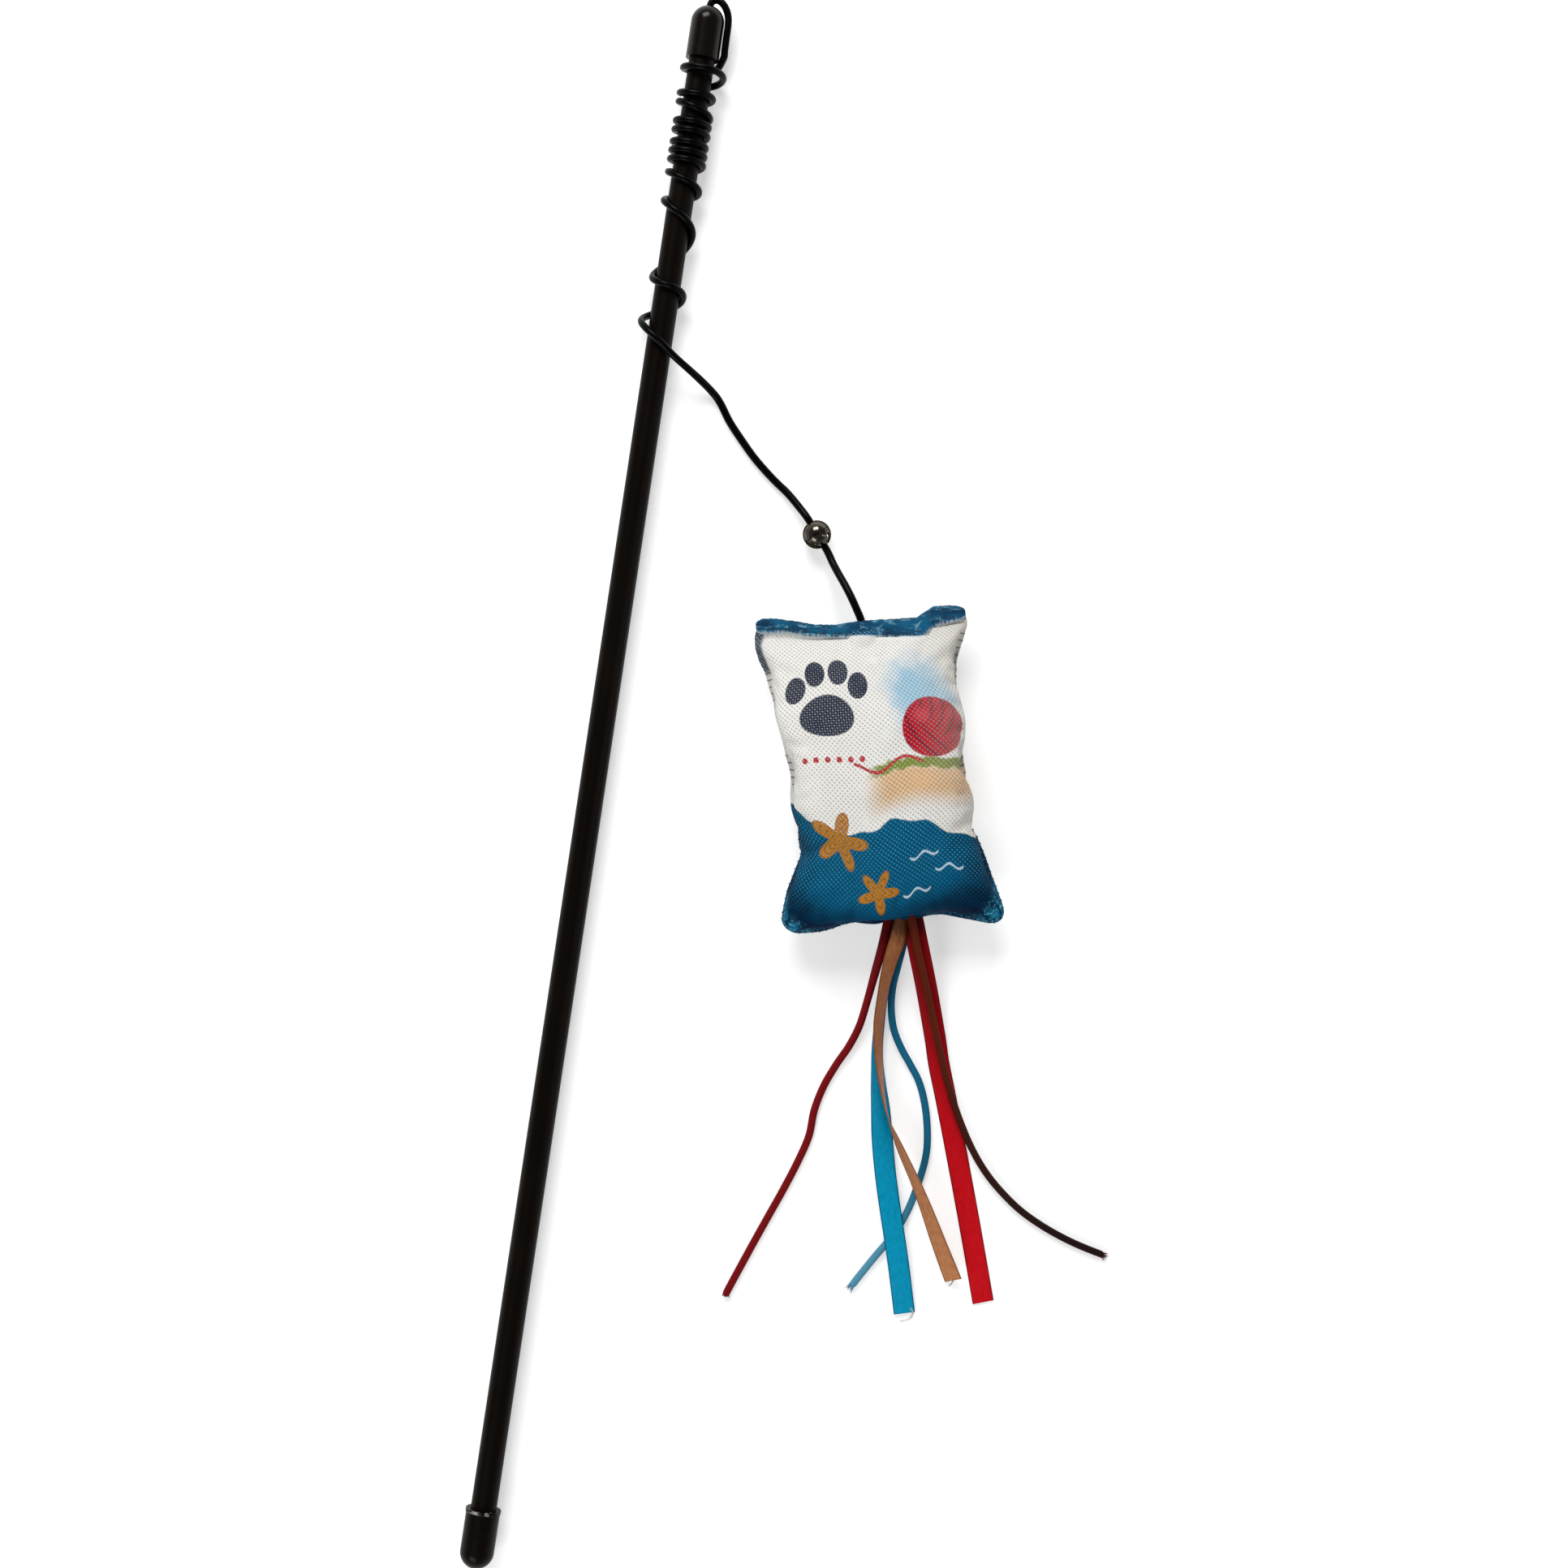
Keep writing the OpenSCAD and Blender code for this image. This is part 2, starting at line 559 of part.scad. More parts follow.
// The streamers' ends, sewn into the lower seam
module streamer_roots() {
    columns = [-1 : len(mouth_shares)];
    edge = [for (k = columns) grid_xy(mouth_col + k, toy_rows).x];
    high = [for (k = columns) max(0, way_through(mouth_col + k, toy_rows) - slip)];
    n = len(edge);
    middle = (edge[0] + edge[n - 1]) / 2;
    color("#6b3b2a")
        at_toy()
            translate([0, root_len - toy_len, 0]) rotate([90, 0, 0]) linear_extrude(root_len)
                polygon(concat(
                    [for (k = [0 : n - 1]) [mix(middle, edge[k], root_share), high[k]]],
                    [for (k = [n - 2 : -1 : 1]) [mix(middle, edge[k], root_share), -high[k]]]
                ));
}

module ribbon(route) sweep(ribbon_rings(flat_moved(route, seam_at + [0, -root_gap, 0])), true);

module lace(route) sweep(cord_rings(moved(route, seam_at + [0, -root_gap, 0]), lace_d / 2, cord_sides));

module ribbon_red() color("#be0f1c") ribbon(red_ribbon_route);
module ribbon_blue() color("#008cb4") ribbon(blue_ribbon_route);
module ribbon_tan() color("#aa6941") ribbon(tan_ribbon_route);
module lace_red() color("#6e0a0f") lace(red_lace_route);
module lace_teal() color("#287896") lace(teal_lace_route);
module lace_brown() color("#3c190c") lace(brown_lace_route);

rod();
handle_cap();
tip_cap();
anchor_knot();
cord_tip_loop();
cord_winding();
cord_lead();
bell_upper_shell();
bell_lower_shell();
bell_pellet();
toy_front_panel();
toy_back_panel();
toy_stuffing();
closing_thread();
cord_end_knot();
streamer_roots();
ribbon_red();
ribbon_blue();
ribbon_tan();
lace_red();
lace_teal();
lace_brown();
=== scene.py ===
"""Looks of the cat teaser wand, built round its solids. Lengths are in millimetres until a mesh is made."""
import bpy
import numpy as np
from math import ceil, copysign, cos, exp, pi, radians, sin, sqrt, tau
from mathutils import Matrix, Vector, noise
from numpy.linalg import norm


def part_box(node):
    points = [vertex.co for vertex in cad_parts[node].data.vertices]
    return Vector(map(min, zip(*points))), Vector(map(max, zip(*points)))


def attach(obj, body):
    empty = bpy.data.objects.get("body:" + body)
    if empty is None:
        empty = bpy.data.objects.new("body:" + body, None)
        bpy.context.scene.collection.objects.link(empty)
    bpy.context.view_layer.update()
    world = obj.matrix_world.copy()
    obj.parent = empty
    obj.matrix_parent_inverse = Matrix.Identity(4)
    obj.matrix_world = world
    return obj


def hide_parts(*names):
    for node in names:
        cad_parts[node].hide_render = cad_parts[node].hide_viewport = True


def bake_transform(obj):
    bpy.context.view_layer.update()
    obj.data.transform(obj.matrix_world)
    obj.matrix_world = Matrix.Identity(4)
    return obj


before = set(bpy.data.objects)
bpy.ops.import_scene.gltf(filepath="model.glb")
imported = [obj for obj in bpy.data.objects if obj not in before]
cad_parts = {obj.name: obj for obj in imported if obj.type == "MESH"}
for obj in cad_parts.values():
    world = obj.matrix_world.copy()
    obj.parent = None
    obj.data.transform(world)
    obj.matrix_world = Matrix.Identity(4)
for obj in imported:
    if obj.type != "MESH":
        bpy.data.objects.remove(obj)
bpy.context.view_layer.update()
scene = bpy.context.scene
MM = 0.001

# Places, as in the part's source
CORD_R, WRAP_R, FLOOR = 1.0, 5.1, -6.1
TIP_MOUTH, TIP_TOP, WRAP_LEN = 452.7, 469.3, 95.0
TOY_TURN = radians(14.3)
TOY_AT = np.array([73.7211, 290.04, 5.9])
SEAM_AT = np.array([96.692, 199.922 - 0.6, FLOOR])
LEAD_HINGE = np.array([4.35719, 361.079, 4.77052])
BELL_AT = np.array([56.8, 313.4, -1.7])
# What stays free between the surface and the cord, and the surface and cloth
CORD_CLEAR, CLOTH_CLEAR = 0.03, 0.05
CENTRE = (0.06, 0.24, 0)  # the wand's middle, in metres


def srgb(r, g, b):
    """A colour as it looks on a screen, 0 to 255, as the numbers a shader takes."""
    shares = [c / 255 for c in (r, g, b)]
    return tuple(((c + 0.055) / 1.055) ** 2.4 if c > 10 / 255 else c / 12.92 for c in shares) + (1.0,)


def new_object(name, data):
    ob = bpy.data.objects.new(name, data)
    scene.collection.objects.link(ob)
    return ob


# ---- Camera, light and floor
cam = new_object("camera", bpy.data.cameras.new("camera"))
cam.location = (0.05823, 0.23575, 0.8)
cam.rotation_euler = (0, 0, radians(8.574))
cam.data.sensor_width = 36
cam.data.lens = 59.63
cam.data.clip_start, cam.data.clip_end = 0.01, 50
scene.camera = cam
scene.view_settings.view_transform = "Standard"


def lamp(name, at, size, watts):
    """A soft lamp that points at the middle of the wand."""
    data = bpy.data.lights.new(name, "AREA")
    data.shape, data.size, data.size_y = "RECTANGLE", *size
    data.energy = watts
    ob = new_object(name, data)
    ob.location = at
    ob.rotation_euler = (Vector(CENTRE) - Vector(at)).to_track_quat("-Z", "Y").to_euler()


lamp("key", (-0.4, 1.5, 1.15), (1.0, 0.7), 23)
lamp("side", (1.3, 0.25, 0.75), (0.22, 0.9), 2.2)
lamp("low", (-0.4, -1.0, 1.0), (0.9, 0.6), 9)


def add(tree, kind, inputs, **props):
    """A new node with its properties; an input, by name or number, is a value or another node's socket."""
    n = tree.nodes.new(kind)
    for key, value in props.items():
        setattr(n, key, value)
    for key, value in inputs.items():
        if isinstance(value, bpy.types.NodeSocket):
            tree.links.new(value, n.inputs[key])
        else:
            n.inputs[key].default_value = value
    return n


def bare_tree(thing):
    thing.use_nodes = True
    thing.node_tree.nodes.clear()
    return thing.node_tree


# The studio is white at the horizon and dark overhead
scene.world = bpy.data.worlds.new("studio")
wt = bare_tree(scene.world)
w_z = add(wt, "ShaderNodeSeparateXYZ", {0: add(wt, "ShaderNodeTexCoord", {}).outputs["Generated"]})
w_ramp = add(wt, "ShaderNodeValToRGB", {0: w_z.outputs["Z"]})
for stop, height, shade in zip(w_ramp.color_ramp.elements, (0.02, 0.4), (1, 0.17)):
    stop.position, stop.color = height, (shade, shade, shade, 1)
w_bg = add(wt, "ShaderNodeBackground", {0: w_ramp.outputs[0]})
add(wt, "ShaderNodeOutputWorld", {0: w_bg.outputs[0]})

# The floor is pale, and what the camera and reflections see of it is white, with the object's shadow
floor_mesh = bpy.data.meshes.new("floor")
FLOOR_HALF, FLOOR_Z = 12.0, (FLOOR - CORD_CLEAR) * MM
corners = [(-1, -1), (1, -1), (1, 1), (-1, 1)]
floor_mesh.from_pydata([(a * FLOOR_HALF, b * FLOOR_HALF, FLOOR_Z) for a, b in corners], [], [(0, 1, 2, 3)])
new_object("floor", floor_mesh)
floor_mesh.materials.append(bpy.data.materials.new("floor"))
ft = bare_tree(floor_mesh.materials[0])
rays = add(ft, "ShaderNodeLightPath", {}).outputs
seen = add(ft, "ShaderNodeMath", {0: rays["Is Camera Ray"], 1: rays["Is Glossy Ray"]}, operation="MAXIMUM")
seen = add(ft, "ShaderNodeMath", {0: seen.outputs[0], 1: rays["Is Transmission Ray"]}, operation="MAXIMUM")
place = add(ft, "ShaderNodeTexCoord", {}).outputs["Object"]
far = add(ft, "ShaderNodeVectorMath", {0: place, 1: CENTRE}, operation="DISTANCE")
rise = add(ft, "ShaderNodeMapRange", {
    "Value": far.outputs["Value"], "From Min": 0.35, "From Max": 1.3, "To Min": 0.46, "To Max": 1.0})
plain = add(ft, "ShaderNodeBsdfDiffuse", {"Color": (0.8, 0.8, 0.8, 1)})
glow = add(ft, "ShaderNodeEmission", {"Color": (1, 1, 1, 1), "Strength": rise.outputs[0]})
both = add(ft, "ShaderNodeAddShader", {0: plain.outputs[0], 1: glow.outputs[0]})
surface = add(ft, "ShaderNodeMixShader", {0: seen.outputs[0], 1: plain.outputs[0], 2: both.outputs[0]})
add(ft, "ShaderNodeOutputMaterial", {0: surface.outputs[0]})


# ---- Patterns as sums of numbers in a material's nodes
class Num:
    """A number that varies over a surface, for patterns written as plain sums."""

    def __init__(self, tree, socket):
        self.tree, self.socket = tree, socket

    def op(self, kind, *others):
        values = [v.socket if isinstance(v, Num) else v for v in (self,) + others]
        n = add(self.tree, "ShaderNodeMath", dict(enumerate(values)), operation=kind)
        return Num(self.tree, n.outputs[0])

    def __add__(self, o): return self.op("ADD", o)
    def __sub__(self, o): return self.op("SUBTRACT", o)
    def __rsub__(self, o): return (self * -1) + o
    def __mul__(self, o): return self.op("MULTIPLY", o)
    def __truediv__(self, o): return self.op("DIVIDE", o)
    def __pow__(self, o): return self.op("POWER", o)
    def sin(self): return self.op("SINE")
    def cos(self): return self.op("COSINE")
    def abs(self): return self.op("ABSOLUTE")
    def frac(self): return self.op("FRACT")
    def max(self, o): return self.op("MAXIMUM", o)
    def min(self, o): return self.op("MINIMUM", o)

    def step(self, low, high):
        """0 below low and 1 above high, with a soft edge; low above high turns it round."""
        turned = float(low > high)
        n = add(self.tree, "ShaderNodeMapRange", {
            "Value": self.socket, "From Min": min(low, high), "From Max": max(low, high),
            "To Min": turned, "To Max": 1 - turned}, interpolation_type="SMOOTHSTEP")
        return Num(self.tree, n.outputs["Result"])


def hypot(a, b):
    return (a * a + b * b) ** 0.5


class Paint:
    """A Principled material and its patterns, placed by UV on made pieces and by place on a CAD node."""

    def __init__(self, name, base, rough, metal, spec, **sockets):
        self.mat = bpy.data.materials.new(name)
        self.mat.use_nodes = True
        self.t = self.mat.node_tree
        self.b = self.t.nodes["Principled BSDF"]
        sockets |= {"Base Color": base, "Roughness": rough, "Metallic": metal, "Specular IOR Level": spec}
        for key, value in sockets.items():
            self.b.inputs[key.replace("_", " ")].default_value = value
        self.mat.diffuse_color = self.top = base

    def uv(self, ku, kv):
        s = add(self.t, "ShaderNodeSeparateXYZ", {0: add(self.t, "ShaderNodeUVMap", {}).outputs[0]})
        return Num(self.t, s.outputs[0]) * ku, Num(self.t, s.outputs[1]) * kv

    def place(self, scale, uv=False):
        n = add(self.t, "ShaderNodeUVMap" if uv else "ShaderNodeTexCoord", {})
        at = n.outputs[0] if uv else n.outputs["Object"]
        return add(self.t, "ShaderNodeMapping", {0: at, "Scale": scale}).outputs[0]

    def noise(self, scale, detail, stretch=(1, 1, 1), uv=False):
        n = add(self.t, "ShaderNodeTexNoise", {
            "Scale": scale, "Detail": detail, "Roughness": 0.5, "Vector": self.place(stretch, uv)})
        return Num(self.t, n.outputs["Fac"])

    def mix(self, a, b, fac):
        """Colour a where fac is 0 and b where it is 1; each is a colour or another mix."""
        return add(self.t, "ShaderNodeMix", {0: fac.socket, 6: a, 7: b}, data_type="RGBA").outputs[2]

    def lay(self, color, where):
        """A colour, or a mix, over the base and what has been laid on it so far."""
        self.top = self.mix(self.top, color, where)
        self.t.links.new(self.top, self.b.inputs["Base Color"])

    def rough(self, num):
        self.t.links.new(num.socket, self.b.inputs["Roughness"])

    def bump(self, height, strength, distance):
        n = add(self.t, "ShaderNodeBump", {
            "Strength": strength, "Distance": distance, "Height": height.socket})
        self.t.links.new(n.outputs[0], self.b.inputs["Normal"])


def shade(color, factor):
    """The same colour, that many times as bright."""
    return tuple(c * factor for c in color[:3]) + (1.0,)


# ---- Materials
def black_plastic(name, base, rough, spec, lines, lip=None):
    """Moulded black plastic; lip is where a cap's mouth has a pale painted highlight on its upper side."""
    p = Paint(name, base, rough, 0, spec)
    fine = p.noise(900 if lines else 420, 4, (1, 0.02, 1) if lines else (1, 1, 1))
    broad = p.noise(60, 3)
    p.lay(shade(base, 1.9), (fine * 0.5 + broad * 0.5).step(0.45, 0.8))
    if lip is not None:
        at = add(p.t, "ShaderNodeSeparateXYZ", {0: p.place((1000, 1000, 1000))})  # in millimetres
        # a pale painted highlight, in patches, on the upper side of the cap's mouth
        lip_highlight = Num(p.t, at.outputs[1]).step(lip - 0.95, lip - 0.55) * p.noise(330, 3).step(0.4, 0.52)
        p.lay(srgb(168, 166, 160), lip_highlight * Num(p.t, at.outputs[2]).step(2.0, 3.5) * 0.85)
    p.rough(fine * 0.16 + broad * 0.1 + (rough - 0.13))
    p.bump(fine * 0.7 + broad * 0.3, 0.12 if lines else 0.06, 8e-5)
    return p.mat


rod_mat = black_plastic("rod_plastic", srgb(11, 6, 3), 0.4, 0.06, True)
cap_mat = black_plastic("cap_vinyl", srgb(13, 7, 4), 0.2, 0.2, False)
cap_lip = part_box("handle_cap")[1].y / MM
handle_mat = black_plastic("handle_vinyl", srgb(10, 6, 3), 0.32, 0.08, False, cap_lip)


def elastic():
    p = Paint("elastic", srgb(3, 3, 3), 0.3, 0, 0.07)
    u, v = p.uv(1, 100)
    a, b = (u * 8 + v / 1.1) * tau, (u * 8 - v / 1.1) * tau
    braid = (a.sin() * b.sin()).abs()
    fine = p.noise(40, 3, (6, 30, 1), True)
    p.top = srgb(2, 2, 2)
    p.lay(srgb(10, 9, 8), braid.step(0.2, 0.9) * 0.5 * fine)
    p.rough(braid * -0.06 + fine * 0.12 + 0.22)
    p.bump(braid + fine * 0.4, 0.2, 4e-5)
    return p.mat


def knot_cord():
    p = Paint("elastic_knot", srgb(3, 3, 3), 0.4, 0, 0.08)
    f = p.noise(1600, 3)
    p.top = srgb(2, 2, 2)
    p.lay(srgb(13, 12, 11), f.step(0.4, 0.8))
    p.bump(f, 0.4, 8e-5)
    return p.mat


def metal(name, base, dark, rough):
    p = Paint(name, base, rough, 1.0, 0.5, Specular_Tint=(0.2, 0.2, 0.2, 1))
    broad, fine = p.noise(260, 4), p.noise(2600, 2)
    p.lay(dark, (broad * 0.7 + fine * 0.3).step(0.42, 0.72))
    p.rough(broad * 0.14 + fine * 0.06 + (rough - 0.08))
    p.bump(fine * 0.4 + broad * 0.6, 0.05, 6e-5)
    return p.mat


elastic_mat, knot_mat = elastic(), knot_cord()
bell_mat = metal("bell_metal", srgb(108, 102, 93), srgb(28, 24, 20), 0.12)
pellet_mat = metal("pellet_metal", srgb(110, 106, 102), srgb(64, 60, 58), 0.35)


def satin(name, base, edge, painted_sheen, root_shade=0.9):
    """Woven satin: fine ribs across, firm edges, a painted sheen that changes slowly along it, and painted
    shade towards where it is sewn in.
    """
    p = Paint(name, base, 0.5, 0, 0.1, Anisotropic=0.3)
    u, v = p.uv(1, 100)
    side = ((u - 0.5) * 2).abs()
    ribs = (v * (tau / 0.32)).sin() * 0.5 + 0.5
    warp = (u * (tau * 26)).sin() * 0.5 + 0.5
    slow = p.noise(9, 3, (0.6, 5, 1), True)
    rim = side.step(0.84, 0.93)
    # painted sheen in slow patches, with more of it towards the end
    p.lay(painted_sheen, (slow * 0.8 + ribs * 0.12 + v.step(60, 110) * 0.12).step(0.3, 0.8) * 0.8)
    # darker woven edges, and painted shade over the stretch nearest the toy
    p.lay(edge, (rim * 0.7 + v.step(80, 4) * root_shade).min(0.95))
    # a deeper painted shadow where it comes out from under the toy
    p.lay(shade(edge, 0.25), (v + slow * 6).step(13, 6) * 0.75)
    p.rough(ribs * 0.1 + rim * 0.15 + slow * 0.12 + 0.36)
    loops = side.step(0.88, 1.0) * (v * (tau / 0.9)).sin()
    p.bump(ribs * 0.5 + warp * 0.25 + rim * 1.4 + loops * 0.8, 0.5, 7e-5)
    return p.mat


satin_red = satin("satin_red", srgb(194, 6, 20), srgb(122, 2, 10), srgb(212, 18, 32))
satin_blue = satin("satin_blue", srgb(0, 138, 180), srgb(0, 76, 110), srgb(0, 164, 202))
satin_tan = satin("satin_tan", srgb(180, 110, 64), srgb(128, 74, 44), srgb(208, 146, 100), 0.4)


def lace(name, base, dark, light, root=None, tail=None):
    """Round braided lace: crossing strands, painted shade where it is sewn in unless root gives it a colour
    of its own there, and another colour towards its end.
    """
    p = Paint(name, base, 0.66, 0, 0.1)
    u, v = p.uv(1, 100)
    a, b = (u * 6 + v / 1.7) * tau, (u * 6 - v / 1.7) * tau
    strands = a.sin() * b.sin()
    fibre = p.noise(60, 4, (4, 18, 1), True)
    p.lay(dark, strands.abs().step(0.5, 0.0) * 0.7)
    p.lay(light, fibre.step(0.5, 0.8) * 0.45)
    # where root is given, that colour along the stretch nearest the toy; otherwise painted shade there
    p.lay(root or dark, v.step(90, 30) * 0.8 if root else v.step(30, 3) * 0.7)
    if tail:
        p.lay(tail, v.step(76, 122) * 0.8)
    p.bump(strands.abs() + fibre * 0.5, 0.6, 0.00012)
    return p.mat


lace_red = lace("lace_red", srgb(132, 8, 16), srgb(86, 3, 8), srgb(178, 40, 46))
lace_teal = lace("lace_teal", srgb(20, 112, 148), srgb(4, 70, 100), srgb(84, 160, 186),
                 tail=srgb(96, 162, 188))
lace_teal_end = lace("lace_teal_end", srgb(122, 186, 204), srgb(70, 146, 172), srgb(190, 222, 230))
lace_brown = lace("lace_brown", srgb(54, 23, 15), srgb(28, 11, 7), srgb(100, 52, 36),
                  root=srgb(104, 32, 8), tail=srgb(22, 9, 7))


def fibre_mat(name, base, light):
    p = Paint(name, base, 0.85, 0, 0.2, Sheen_Weight=0.3)
    f = p.noise(700, 4)
    p.lay(light, f.step(0.35, 0.75))
    p.bump(f, 0.7, 0.0003)
    return p.mat


filling_mat = fibre_mat("filling", srgb(224, 220, 210), srgb(248, 246, 240))
thread_mat = fibre_mat("thread", srgb(20, 44, 62), srgb(52, 84, 104))
white_thread = fibre_mat("white_thread", srgb(176, 178, 168), srgb(212, 212, 204))
ends_mat = fibre_mat("sewn_ends", srgb(14, 62, 92), srgb(40, 104, 140))


def printed():
    """The toy's canvas: an open weave with a paw, a ball of yarn and two stars between blue bands."""
    p = Paint("toy_print", srgb(240, 238, 232), 0.7, 0, 0.04)
    u, v = p.uv(100, 100)
    x, y = u - 50, v - 100  # millimetres from the middle of the hem's line, on the flat cloth
    blot = p.noise(14, 4, uv=True)
    fine = p.noise(90, 4, uv=True)
    ragged = (fine - 0.5) * 1.6 + (blot - 0.5) * 2.0
    cream, blue, deep = srgb(244, 242, 237), srgb(0, 86, 124), srgb(0, 46, 74)
    sky, red, navy = srgb(146, 198, 226), srgb(188, 14, 30), srgb(18, 34, 60)
    green, sand, orange = srgb(128, 146, 40), srgb(228, 186, 138), srgb(190, 122, 24)

    p.top = cream
    # a soft sky behind the ball
    cloud = hypot((x - 15) / 13, (y + 27) / 15) + (blot - 0.5) * 0.9
    p.lay(sky, cloud.step(1.05, 0.35) * 0.9)
    # sand and grass under the ball
    shore = y + 51 - (x * 0.22).sin() * 0.9
    p.lay(sand, shore.step(4.5, 1.0) * x.step(-6, 3) * shore.step(-10, -3))
    grass = (shore - 3.6 + (fine - 0.5) * 2.4 + (x * 1.1).sin() * 0.25).abs()
    p.lay(green, grass.step(1.9, 0.9) * x.step(-4, 1))
    # the ball of yarn
    bx, by = x - 16.5, y + 37.5
    far = hypot(bx, by)
    ball = far.step(8.9, 8.5)
    slant = (bx + by) * 0.16
    yarn = ((hypot(bx + 9, by - 8) * 2.1).sin() * 0.5 + 0.5).step(0.72, 0.86) * slant.step(-0.6, 0.4)
    wool = ((hypot(bx - 11, by - 7) * 2.1).sin() * 0.5 + 0.5).step(0.74, 0.88) * slant.step(0.2, -0.8)
    ball_color = p.mix(red, srgb(150, 10, 28), (yarn + wool).min(1))
    ball_color = p.mix(ball_color, srgb(224, 70, 80), hypot(bx + 3, by - 3.4).step(3.4, 0.6) * 0.6)
    p.lay(ball_color, ball)
    tail = (y + 46.2 - ((x - 4) * 0.42).sin() * 1.5).abs()
    p.lay(red, tail.step(0.6, 0.3) * x.step(-7, -6.4) * x.step(14, 12))
    # the paw
    px, py = x + 12.5, y + 25
    pad = hypot(px / 7.6, (py + 6 + (px * px) * 0.018) / 6.0).step(1.03, 0.96)
    toes = hypot((px + 9.2) / 3.0, (py - 2.0) / 4.0).step(1.05, 0.95)
    for tx, ty in ((-3.5, 6.6), (3.5, 6.6), (9.2, 2.0)):
        toes = toes.max(hypot((px - tx) / 3.0, (py - ty) / 4.0).step(1.05, 0.95))
    p.lay(navy, pad.max(toes))
    # a row of small red beads
    beads = hypot(((x + 22.7) / 3.4).frac() * 3.4 - 1.7, y + 43.5).step(0.95, 0.7)
    p.lay(red, beads * x.step(-22.8, -22.6) * x.step(-2.2, -2.4))
    # the blue water, its crest and its ripples; the water is darker at random and near its crest, with
    # painted shade towards the sides and the bottom
    crest = y + 63 + x * 0.16 - (x * 0.17 + 0.6).sin() * 2.4 - (x * 0.61).sin() * 0.5 + (blot - 0.5) * 2.2
    depth = (blot * 0.6 + (x + 2).abs().step(12, 34) * 0.5 + (y + 66).abs().step(8, 0) * 0.2
             + y.step(-74, -92) * 0.3)
    arcs = [(y - ry - ((x - rx) * 1.1).cos() * 0.8).abs().step(0.5, 0.25) * (x - rx).abs().step(4.3, 4.0)
            for rx, ry in ((11, -73), (18, -78), (8, -83))]
    water = p.mix(blue, deep, depth.step(0.4, 0.95))
    water = p.mix(water, srgb(206, 224, 236), arcs[0].max(arcs[1]).max(arcs[2]) * 0.85)
    p.lay(water, crest.step(0.3, -0.3))
    # two stars over the crest
    for sx, sy, size, turn in ((-14, -66, 9.5, 0.3), (-3.5, -80, 7.0, 1.1)):
        dx, dy = x - sx, y - sy
        lobes = (dy.op("ARCTAN2", dx) * 5 + turn).cos()
        edge = hypot(dx, dy) / (lobes * 0.3 + 0.66)
        star = edge.step(size, size * 0.94)
        rib = (edge * (tau / 2.2)).cos().step(0.3, 0.8)
        p.lay(p.mix(orange, srgb(146, 90, 18), rib * 0.8), star)
    # the blue band under the hem
    band = y + 5.4 + x * 0.138 - x.step(18.5, 22.5) * 4.2 - x.step(22, 34) * 2.0 + ragged * 0.3
    p.lay(srgb(206, 220, 228), band.abs().step(1.0, 0.2) * 0.8)
    p.lay(p.mix(blue, deep, blot.step(0.4, 0.7)), band.step(-0.15, 0.3))
    # the folded seam along the bottom, with painted shade above it and in its fold, and paler specks below
    # it
    low = y + 96.6 - (x / 33) ** 2 * 3.2 - ragged * 0.7
    p.lay(srgb(0, 26, 52), low.step(-3.4, 0.2) * low.step(15.0, 3.0) * 0.55)
    fold = (low - 3.0 + ragged * 0.4).abs().step(1.6, 0.4)
    p.lay(srgb(12, 22, 56), fold * fine.step(0.34, 0.52) * 0.85)
    p.lay(srgb(60, 140, 172), low.step(2.4, 0.6) * fine.step(0.54, 0.64) * 0.5)
    # a painted sheen on the corners, streaked with painted light and shade along their creases
    corner = (x.abs() * 0.8 - y * 0.6 - 75.6 + ragged * 1.8).step(0, 6)
    streaks = ((x.abs() + y * 0.7) * 1.3 + (blot - 0.5) * 12 + (fine - 0.5) * 7).sin()
    ear = p.mix(srgb(28, 124, 160), srgb(0, 58, 92), streaks.step(-0.2, 0.8))
    ear = p.mix(ear, srgb(132, 202, 220), fine.step(0.55, 0.66) * 0.8)
    p.lay(ear, corner * 0.85)
    # painted shade along the side seams, and the dark seam under the hem's left end
    rim = (x.abs() + (y + 48).abs() * -0.03).step(26, 35)
    p.lay(srgb(158, 150, 138), rim * crest.step(-0.3, 0.6) * (fine * 0.5 + 0.3))
    p.lay(srgb(10, 44, 76), x.step(-30.6, -32.0) * (y + ragged).step(-17, -14) * 0.9)
    p.lay(srgb(60, 78, 92), x.step(31.4, 33.0) * (y + 17 + ragged).abs().step(4, 2) * 0.8)
    # painted shade towards the right side
    p.lay(srgb(176, 166, 152), x.step(8, 33) * crest.step(-0.3, 0.6) * 0.4)

    # open weave: slanted gaps between raised, printed threads, fewer towards the bottom and the sides
    k = tau / 1.42
    gap = ((x + y) * k).cos() * 0.62 + ((x - y) * k).cos() * 0.38
    patchy = (blot * 1.5 + fine * 0.3 - 0.3).step(0.05, 0.6)
    hole = gap.step(0.25, 0.85) * patchy * (y * -1).step(91, 74) * x.abs().step(34, 27) * band.step(0.2, -3)
    ink = crest.step(0.3, -0.3).max(ball)
    p.lay(srgb(96, 176, 200), hole * ink * 0.55)
    p.lay(srgb(132, 128, 124), hole * (1 - ink) * 0.62)
    p.lay(srgb(246, 244, 240), gap.step(-0.2, -0.8) * (1 - ink) * patchy * 0.3)
    pitch = tau / 0.52
    threads = (x * pitch).sin() * (y * pitch).sin()
    p.rough(hole * 0.1 + fine * 0.15 + 0.6)
    p.bump(hole * -1.0 + threads * 0.22 + fine * 0.25 + streaks * corner * 1.2, 0.55, 0.00022)
    return p.mat


